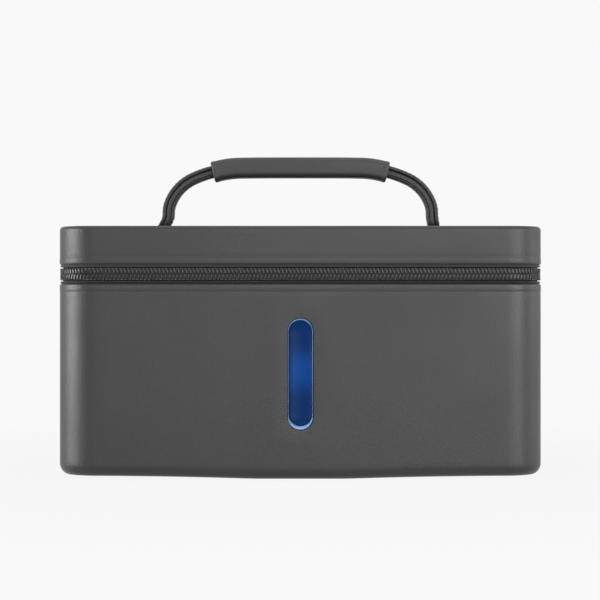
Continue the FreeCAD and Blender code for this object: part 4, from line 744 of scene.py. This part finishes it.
FOOT_X, PIVOT_Z, LEG_TOP = 0.089, 0.1657, 0.1660
ARCH_Z, BEND, SHOULDER = 0.2002, 0.030, 0.075
SINE = (ARCH_Z - LEG_TOP - SHOULDER) / (BEND - SHOULDER)
ACROSS = FOOT_X - BEND + (BEND - SHOULDER) * math.sqrt(1 - SINE ** 2)
BEND_ANGLE = math.asin(SINE)


def strap_line(above, low, step=0.003):
    """Half of a line along the arch at a rise over its middle: points with their outward sides."""
    points = []
    count = max(1, round((LEG_TOP - low) / step))
    for k in range(count):
        points.append(((FOOT_X + above, low + (LEG_TOP - low) * k / count), (1, 0)))
    for centre, radius, start, end in (
            ((FOOT_X - BEND, LEG_TOP), BEND, 0, BEND_ANGLE),
            ((ACROSS, ARCH_Z - SHOULDER), SHOULDER, BEND_ANGLE, math.pi / 2)):
        count = max(3, round(radius * (end - start) / step))
        for k in range(count):
            turn = start + (end - start) * k / count
            out = (math.cos(turn), math.sin(turn))
            points.append(((centre[0] + (radius + above) * out[0],
                            centre[1] + (radius + above) * out[1]), out))
    count = round(ACROSS / step)
    for k in range(count + 1):
        points.append(((ACROSS * (1 - k / count), ARCH_Z + above), (0, 1)))
    return points


def whole(half):
    """The line from the right foot over the top to the left foot."""
    return half + [((-x, z), (-ox, oz)) for (x, z), (ox, oz) in half[-2::-1]]


def band(bm, line, section):
    """Carries a closed section of across (Y) and outward along an arch line.

    Its feet are round about the pivot, so that they clear the lid as the handle folds."""
    uv = bm.loops.layers.uv.verify()
    rows, run, runs = [], 0, []
    for k, ((x, z), (ox, oz)) in enumerate(line):
        if k:
            run += math.hypot(x - line[k - 1][0][0], z - line[k - 1][0][1])
        runs.append(run)
        foot = math.sqrt(1 - (max(0, PIVOT_Z - z) / 0.0069) ** 2)
        rows.append([bm.verts.new((x + ox * out, side * foot, z + oz * out))
                     for side, out in section])
    up = [0]
    for (a, b), (c, d) in zip(section, section[1:] + section[:1]):
        up.append(up[-1] + math.hypot(c - a, d - b))
    for j in range(len(rows) - 1):
        for k in range(len(section)):
            n = (k + 1) % len(section)
            face = bm.faces.new((rows[j][k], rows[j][n], rows[j + 1][n], rows[j + 1][k]))
            for loop, (a, b) in zip(face.loops, ((j, k), (j, k + 1), (j + 1, k + 1), (j + 1, k))):
                loop[uv].uv = (runs[a], up[b])
    bm.faces.new(rows[0][::-1])
    bm.faces.new(rows[-1])


def soft_section(width, thick, radius, steps=5, groove=None):
    """A rounded rectangle of across and outward; a groove runs along both sides at a level."""
    points = []
    for quarter, (sy, sz) in enumerate(((1, 1), (-1, 1), (-1, -1), (1, -1))):
        for k in range(steps + 1):
            turn = math.radians(90 * (quarter + k / steps))
            points.append((sy * (width / 2 - radius) + radius * math.cos(turn),
                           sz * (thick / 2 - radius) + radius * math.sin(turn)))
        if groove is not None and quarter % 2:
            side = sy * width / 2
            cut = [(side, groove - sz * 0.00025), (side - sy * 0.0006, groove),
                   (side, groove + sz * 0.00025)]
            points += cut
    return points


def splay(line, out):
    """Draws the feet in a little above the lid and spreads them where they are pinned."""
    spread = []
    for (x, z), away in line:
        low = max(0, 0.1672 - z) / 0.0050 * (1 if x < 0 else 0.3)
        tuck = 0.0006 * math.exp(-((z - 0.1680) / 0.0042) ** 2)
        shift = out * low ** 1.4 - tuck
        spread.append(((x + (shift if x > 0 else -shift), z), away))
    return spread


STRAP = leather("strap_leather", 0.022, 0.5, 0.00010)
GRIP = leather("grip_leather", 0.027, 0.5, 0.00007)
bm = bmesh.new()
band(bm, splay(whole(strap_line(0.00215, 0.1590, 0.0011)), 0.0020),
     soft_section(0.0138, 0.0024, 0.0010))
piece(bm, "strap_outer_leather", "handle", STRAP, ["handle_strap_outer"])
bm = bmesh.new()
band(bm, splay(whole(strap_line(-0.00175, 0.1590, 0.0011)), 0.0016),
     soft_section(0.0138, 0.0050, 0.0015, groove=-0.0007))
piece(bm, "strap_inner_leather", "handle", STRAP, ["handle_strap_inner"])
bm = bmesh.new()
line = splay(whole(strap_line(0.00335, 0.1625, 0.0007)), 0.0020)
for side in (-0.0054, 0.0054):
    for k in range(0, len(line) - 4, 4):
        if abs(line[k][0][0]) > 0.0595:
            centres = [Vector((x + ox * rise, side, z + oz * rise)) for ((x, z), (ox, oz)), rise
                       in zip(line[k:k + 4], (-0.0002, 0, 0, -0.0002))]
            tube(bm, centres, [Vector((0, 1, 0))] * 4, [0.0001, 0.00026, 0.00026, 0.0001],
                 [0.00008, 0.00016, 0.00016, 0.00008], 6)
piece(bm, "strap_stitches", "handle", THREAD)


def sleeve():
    """The grip: a padded sleeve with turned hems at its ends."""
    line = whole([((x, z - 0.0009 * (x / 0.0584) ** 4), away)
                  for (x, z), away in strap_line(0, LEG_TOP, 0.0008) if x <= 0.0582])
    bm = bmesh.new()
    section = soft_section(0.022, 0.0132, 0.0036, 7)
    rows = []
    total = len(line) - 1
    for k, ((x, z), (ox, oz)) in enumerate(line):
        run = min(k, total - k) * 0.0008
        hem = 1 + 0.022 * math.sin(math.pi * min(1, run / 0.0030))
        size = hem * (0.955 + 0.045 * min(1, run / 0.0009) ** 0.5)
        rows.append([bm.verts.new((x + ox * out * size, side * size, z + oz * out * size))
                     for side, out in section])
    for a, b in zip(rows, rows[1:]):
        for k in range(len(a)):
            n = (k + 1) % len(a)
            bm.faces.new((a[k], a[n], b[n], b[k]))
    for row in (rows[0], rows[-1]):
        bm.faces.new(row)
    return bm


piece(sleeve(), "grip_sleeve", "handle", GRIP, ["handle_grip"])


# Rivets: one steel pin through each foot of the handle and its anchor, with a low domed head
# outside and a clenched end inside. The handle turns on them.

STEEL = plain("steel", (0.38, 0.38, 0.39), 0.34, 800, 0.000002, 1.0, 0.06)
bm = bmesh.new()
half_pin = [(0.0, 0.0925), (0.0009, 0.09245), (0.0018, 0.0923), (0.0024, 0.0921),
            (0.0026, 0.0919), (0.0026, 0.0916), (0.0015, 0.0916), (0.0015, 0.0855),
            (0.0026, 0.0855), (0.0024, 0.0850), (0.0012, 0.0847), (0.0, 0.0846)]
for side in (1, -1):
    line = [bm.verts.new((side * x, 0, PIVOT_Z + radius)) for radius, x in half_pin]
    edges = [bm.edges.new(pair) for pair in zip(line, line[1:])]
    bmesh.ops.spin(bm, geom=line + edges, cent=(0, 0, PIVOT_Z), axis=(1, 0, 0),
                   angle=2 * math.pi, steps=32, use_merge=True)
bmesh.ops.remove_doubles(bm, verts=bm.verts, dist=0.00001)
piece(bm, "handle_rivets", "handle", STEEL, ["handle_pivot_pins"])


# Button: a rim of glossy blue plastic snapped into the window, its lower lip sloped in, and a
# dished cap of blue plastic. The cap slides in the rim, and small lamps behind it light it from
# the middle.

FACE = -HALF_D


def pill_rings(bm, rings, close=True):
    """Joins pills of a width, a lowest and highest level and a depth behind the front face."""
    uv = bm.loops.layers.uv.verify()
    rows = []
    for width, low, high, depth in rings:
        rows.append([bm.verts.new((x, FACE + depth, (low + high) / 2 + z))
                     for x, z, _, _ in pill(width, high - low)])
    for j, (a, b) in enumerate(zip(rows, rows[1:])):
        for k in range(len(a)):
            n = (k + 1) % len(a)
            face = bm.faces.new((a[k], a[n], b[n], b[k]))
            for loop, at in zip(face.loops, ((k, j), (k + 1, j), (k + 1, j + 1), (k, j + 1))):
                loop[uv].uv = at
    if close:
        for k in range(len(rows[0])):
            n = (k + 1) % len(rows[0])
            bm.faces.new((rows[-1][k], rows[-1][n], rows[0][n], rows[0][k]))
    return rows


low, high = WINDOW_Z - WINDOW_H / 2 + 0.0001, WINDOW_Z + WINDOW_H / 2 - 0.0001
made, shader, at = material("button_rim")
level = part(at, "Z")
# Painted highlight: the rim's colour is paler towards its lower lip and, less, its top, where light
# catches the sloped lip and the top arc.
lower = ramp(level - low, 0.001, 0.010, 1, 0) + ramp(level - high, -0.006, -0.001, 0, 0.45)
fine = noise(at, 900, 3)
wire(shader, Base_Color=blend(lower, (0.095, 0.19, 0.37, 1), (0.21, 0.37, 0.64, 1)),
     Roughness=ramp(fine, 0.3, 0.7, 0.20, 0.28), Normal=bump(fine, 0.000004))
RIM_LOOK = made
bm = bmesh.new()
pill_rings(bm, [
    (0.0155, low, high, 0.0028), (0.0155, low, high, 0.0001),
    (0.0153, low + 0.0001, high - 0.0001, -0.0002),
    (0.0152, low + 0.0002, high - 0.0002, -0.00036),
    (0.0150, low + 0.0004, high - 0.0004, -0.0004),
    (0.0148, low + 0.0007, high - 0.0006, -0.0003), (0.0147, low + 0.0012, high - 0.0007, 0.0002),
    (0.0146, low + 0.0018, high - 0.0008, 0.0009), (0.0146, low + 0.0021, high - 0.0008, 0.0014),
    (0.0146, low + 0.0022, high - 0.0008, 0.0045), (0.0238, low - 0.0038, high + 0.0038, 0.0045),
    (0.0238, low - 0.0038, high + 0.0038, 0.0031), (0.0156, low, high, 0.0031)])
piece(bm, "button_rim", "base", RIM_LOOK, ["button_bezel"])

made, shader, at = material("button_blue", Specular_IOR_Level=0.05, Emission_Strength=1.0)
x, z = part(at, "X"), part(at, "Z")
# Painted light and shade: the base colour is paler in the middle band and darker to the sides, over
# the cap's own dark blue; the emission with the same masks is the lamps' glow behind it.
lamp_glow_and_painted_light = ramp((z - 0.0680).math("ABSOLUTE"), 0.001, 0.019, 1, 0.30)
side = ramp(x.math("ABSOLUTE"), 0.0030, 0.0068, 1, 0.60)
end = ramp((z - WINDOW_Z).math("ABSOLUTE"), 0.026, 0.034, 1, 0.75)
fleck = noise(at, 1500, 2)
wire(shader, Base_Color=blend(lamp_glow_and_painted_light * side + (fleck - 0.5) * 0.1, (0.002, 0.009, 0.042, 1),
                              (0.003, 0.020, 0.080, 1)),
     Emission_Color=blend(lamp_glow_and_painted_light * side * end, (0.0005, 0.005, 0.022, 1), (0.002, 0.040, 0.185, 1)),
     Roughness=ramp(noise(at, 220, 3), 0.3, 0.7, 0.32, 0.40), Normal=bump(fleck, 0.000006))
BLUE = made
bm = bmesh.new()
cap_low, cap_high = low + 0.0024, high - 0.0010
rings = [(0.0166, low, high, 0.0063), (0.0166, low, high, 0.0048),
         (0.0142, cap_low, cap_high, 0.0048), (0.0142, cap_low, cap_high, 0.0012)]
for k in range(1, 13):
    inwards = 0.0067 * (k / 12) ** 1.3
    sunk = 0.0008 + 0.0024 * math.sin(math.pi / 2 * inwards / 0.0067) - 0.0002 * (k == 1)
    rings.append((0.0142 - 2 * inwards, cap_low + inwards, cap_high - inwards, sunk))
rows = pill_rings(bm, rings, close=False)
bm.faces.new(rows[0])
bm.faces.new(rows[-1])
piece(bm, "button_cap_blue", "button", BLUE, ["button_cap"])


# Linings: silver foil laminated to woven cloth, which sends the lamps' light back into the
# compartment. It is glued to the walls and folded over at the rim, and a little creased. The
# lid's lining has an opening for the lamp panel.

LINED = 0.0038
made, shader, at = material("lining", Metallic=0.85)
weft = cells(at, 420)
crease = noise(at, 26, 6, 0.62)
sheen = noise(at, 8, 3)
wire(shader, Base_Color=blend(ramp(weft, 0, 0.1), (0.26, 0.28, 0.30, 1), (0.38, 0.40, 0.42, 1)),
     Roughness=ramp(sheen, 0.3, 0.7, 0.36, 0.50),
     Normal=bump(crease * 0.97 + ramp(weft, 0, 0.12) * 0.03, 0.0005))
LINING = made
outer = [(0.00305, z / 1000) for z in (20.6, 22, 110.4, 114.6, 121.5)]
folded = [(0.00305, 0.1216), (0.0032, 0.12195), (0.00365, 0.12195), (LINED, 0.1216)]
walls = [(LINED, z / 1000) for z in (114.6, 110.4, 90, 68, 45, 27, 22)]
profile = outer[:-1] + folded + walls + [(0.0040, 0.0216), (0.0046, 0.0213)]
bm, rows = loft(profile)
cap(bm, rows[0])
cap(bm, rows[-1])
open_window(bm, span(rows, profile, 0.00305, 0.022, 0.1104),
            span(rows, profile, LINED, 0.022, 0.1104), FRONT, (0, WINDOW_Z),
            pill(0.0244, 0.0778), 0)
piece(bm, "base_lining", "base", LINING, ["base_liner"], 50)

PANEL_W, PANEL_D, PANEL_R = 0.1184, 0.0604, 0.008
profile = [(0.00305, 0.1524), (0.00305, 0.1348), (0.0032, 0.13445), (0.00365, 0.13445),
           (LINED, 0.1348), (LINED, 0.143), (LINED, 0.1506), (0.0041, 0.1514), (0.0050, 0.1516)]
bm, rows = loft(profile)
hole = []
for x, y, out_x, out_y, _ in STATIONS:
    side_x, side_y = abs(out_x) > 0.999, abs(out_y) > 0.999
    at_x = x * (PANEL_W - PANEL_R) / (HALF_W - CORNER) if side_y else math.copysign(
        PANEL_W - PANEL_R, x) + PANEL_R * out_x
    at_y = y * (PANEL_D - PANEL_R) / (HALF_D - CORNER) if side_x else math.copysign(
        PANEL_D - PANEL_R, y) + PANEL_R * out_y
    hole.append((at_x, at_y))
lower, upper = ([bm.verts.new((x, y, z)) for x, y in hole] for z in (0.1516, 0.1524))
for a, b in ((rows[-1], lower), (lower, upper), (upper, rows[0])):
    for k in range(len(a)):
        n = (k + 1) % len(a)
        bm.faces.new((a[k], a[n], b[n], b[k]))
piece(bm, "lid_lining", "lid", LINING, ["lid_liner"], 50)


# Bindings: woven tape folded over the cut edges of leather and lining inside each rim, and
# sewn down on both sides.

def binding(name, body, low, high, replaced):
    section = [(0.0017, low), (0.00162, low + 0.0002), (0.00162, high - 0.0004),
               (0.0018, high - 0.0001), (0.0023, high), (0.0028, high - 0.0001),
               (0.00298, high - 0.0004), (0.00298, low + 0.0002), (0.0029, low)]
    bm, rows = loft(section + section[:1])
    bmesh.ops.remove_doubles(bm, verts=rows[0] + rows[-1], dist=0.000001)
    piece(bm, name, body, TAPE, [replaced])


binding("base_rim_binding", "base", RIM - HEM, RIM, "base_binding")
binding("lid_rim_binding", "lid", EDGE, EDGE + HEM, "lid_binding")


# Fabric hinge and lamp cable: a strip of woven tape sewn across the back to base and lid, and a
# flat cable of plastic film with copper tracks, which takes the current to the lamps. Both are
# upright sheets, hung on no body.

def panel(bm, low, high, y, thick, columns, levels, swell=0.0):
    """A thin upright sheet across the back; swell bows its free middle outwards."""
    uv = bm.loops.layers.uv.verify()
    bmesh.ops.create_grid(bm, x_segments=columns, y_segments=levels, size=0.5)
    for vert in bm.verts:
        x, z = (a + (b - a) * (t + 0.5) for a, b, t in zip(low, high, vert.co))
        free = max(0, min(1, (z - RIM) / (EDGE - RIM)))
        vert.co = x, y + thick / 2 + swell * math.sin(math.pi * free), z
    for face in bm.faces:
        for loop in face.loops:
            loop[uv].uv = loop.vert.co.x, loop.vert.co.z
    bmesh.ops.reverse_faces(bm, faces=bm.faces)
    bmesh.ops.solidify(bm, geom=bm.faces[:], thickness=thick)


bm = bmesh.new()
panel(bm, (-0.102, 0.115), (0.102, 0.1414), 0.0937, 0.0006, 68, 44, 0.0007)
hinge = piece(bm, "hinge_cloth", None, TAPE, ["hinge_strip"])
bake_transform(hinge)

made, shader, at = material("ribbon", Specular_IOR_Level=0.6)
tracks = ((part(at, "X") + 0.02) * (2 * math.pi / 0.0010)).math("SINE")
wire(shader, Base_Color=blend(ramp(tracks, -0.2, 0.2) * 0.9 + noise(at, 300, 2) * 0.1,
                              (0.15, 0.065, 0.012, 1), (0.36, 0.18, 0.045, 1)),
     Roughness=ramp(noise(at, 120, 3), 0.3, 0.7, 0.24, 0.36), Normal=bump(tracks, 0.00004))
RIBBON = made
bm = bmesh.new()
panel(bm, (-0.0245, 0.1140), (-0.0155, 0.1424), 0.0899, 0.0006, 6, 48)
flex = piece(bm, "lamp_cable_bend", None, RIBBON, ["lamp_ribbon_flex"])
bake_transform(flex)


# Return pads: two domes of moulded silicone behind the cap, above and below the switch, which
# push it back when it is pressed.

SILICONE = plain("silicone", (0.035, 0.035, 0.037), 0.6)
bm = bmesh.new()
pad_low, pad_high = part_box("return_pads")
dome = ((0, 0), (0.0039, 0), (0.0040, 0.0002), (0.0040, 0.0008), (0.0037, 0.0012),
        (0.0031, 0.0022), (0.0027, 0.0034), (0.0024, 0.0046), (0.0021, 0.0050), (0.0015, 0.0051),
        (0, 0.0051))
for level in (pad_low[2] + 0.0040, pad_high[2] - 0.0040):
    line = [bm.verts.new((radius, pad_high[1] - depth, level)) for radius, depth in dome]
    edges = [bm.edges.new(pair) for pair in zip(line, line[1:])]
    bmesh.ops.spin(bm, geom=line + edges, cent=(0, 0, level), axis=(0, 1, 0),
                   angle=2 * math.pi, steps=28, use_merge=True)
bmesh.ops.remove_doubles(bm, verts=bm.verts, dist=0.00001)
pads = piece(bm, "return_domes", "base", SILICONE, ["return_pads"], 30)
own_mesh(pads)


# Everything else keeps its solid's shape: the moulded, pressed and bought parts inside the base
# and the lid, the sliders with their tabs, and the port's cover. Each gets its real finish here.

FINISHES = {
    "slider_metal": plain("slider_metal", (0.10, 0.10, 0.105), 0.28, 900, 0.000002, 1.0, 0.04),
    "binding": TAPE,
    "zipper_tape": TAPE,
    "reflective_lining": LINING,
    "strap_leather": STRAP,
    "steel": STEEL,
    "white_plastic": plain("white_plastic", (0.54, 0.55, 0.56), 0.45, vary=0.03),
    "black_plastic": plain("black_plastic", (0.03, 0.03, 0.032), 0.42),
    "circuit_board": plain("circuit_board", (0.02, 0.16, 0.07), 0.35),
    "lamp_board": plain("lamp_board", (0.7, 0.71, 0.71), 0.4),
    "lamp_chip": plain("lamp_chip", (0.85, 0.75, 0.4), 0.3),
    "quartz": plain("quartz", (0.8, 0.88, 0.95), 0.08, Alpha=0.35),
    "battery_wrap": plain("battery_wrap", (0.03, 0.08, 0.3), 0.3),
    "button_rim": RIM_LOOK,
    "button_blue": BLUE,
    "silicone": SILICONE,
    "cable_jacket": plain("cable_jacket", (0.03, 0.03, 0.03), 0.5),
    "ribbon": RIBBON,
    "shell_leather": LEATHER,
    "grip_leather": GRIP,
    "zipper_coil": COIL,
}
for row in frame["record"]["subparts"]:
    shown = frame["nodes"][row["node"]]
    shown.data.materials.clear()
    shown.data.materials.append(FINISHES[row["material_slot"]])


# Rounded edges: the cast sliders and tabs, the moulded port and panels and the bent plates have
# no sharp edges. Their solids' edges get a small radius, in metres.

EDGES = {
    "slider_front": 0.0004, "slider_rear": 0.0004,
    "pull_tab_front": 0.0003, "pull_tab_rear": 0.0003,
    "handle_anchor_left": 0.0004, "handle_anchor_right": 0.0004,
    "port_frame": 0.0003, "port_cover": 0.0003, "lamp_panel": 0.0005, "ribbon_duct": 0.0004,
    "lower_zipper_end_stops": 0.0002, "upper_zipper_end_stops": 0.0002, "lid_backing_plate": 0.0004,
}
for node, width in EDGES.items():
    weld = frame["nodes"][node].modifiers.new("weld", "WELD")
    weld.merge_threshold = 0.00001
    edge = frame["nodes"][node].modifiers.new("edge", "BEVEL")
    edge.width, edge.segments, edge.limit_method = width, 3, "ANGLE"
    edge.angle_limit = math.radians(40)
    edge.harden_normals = True

low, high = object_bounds()
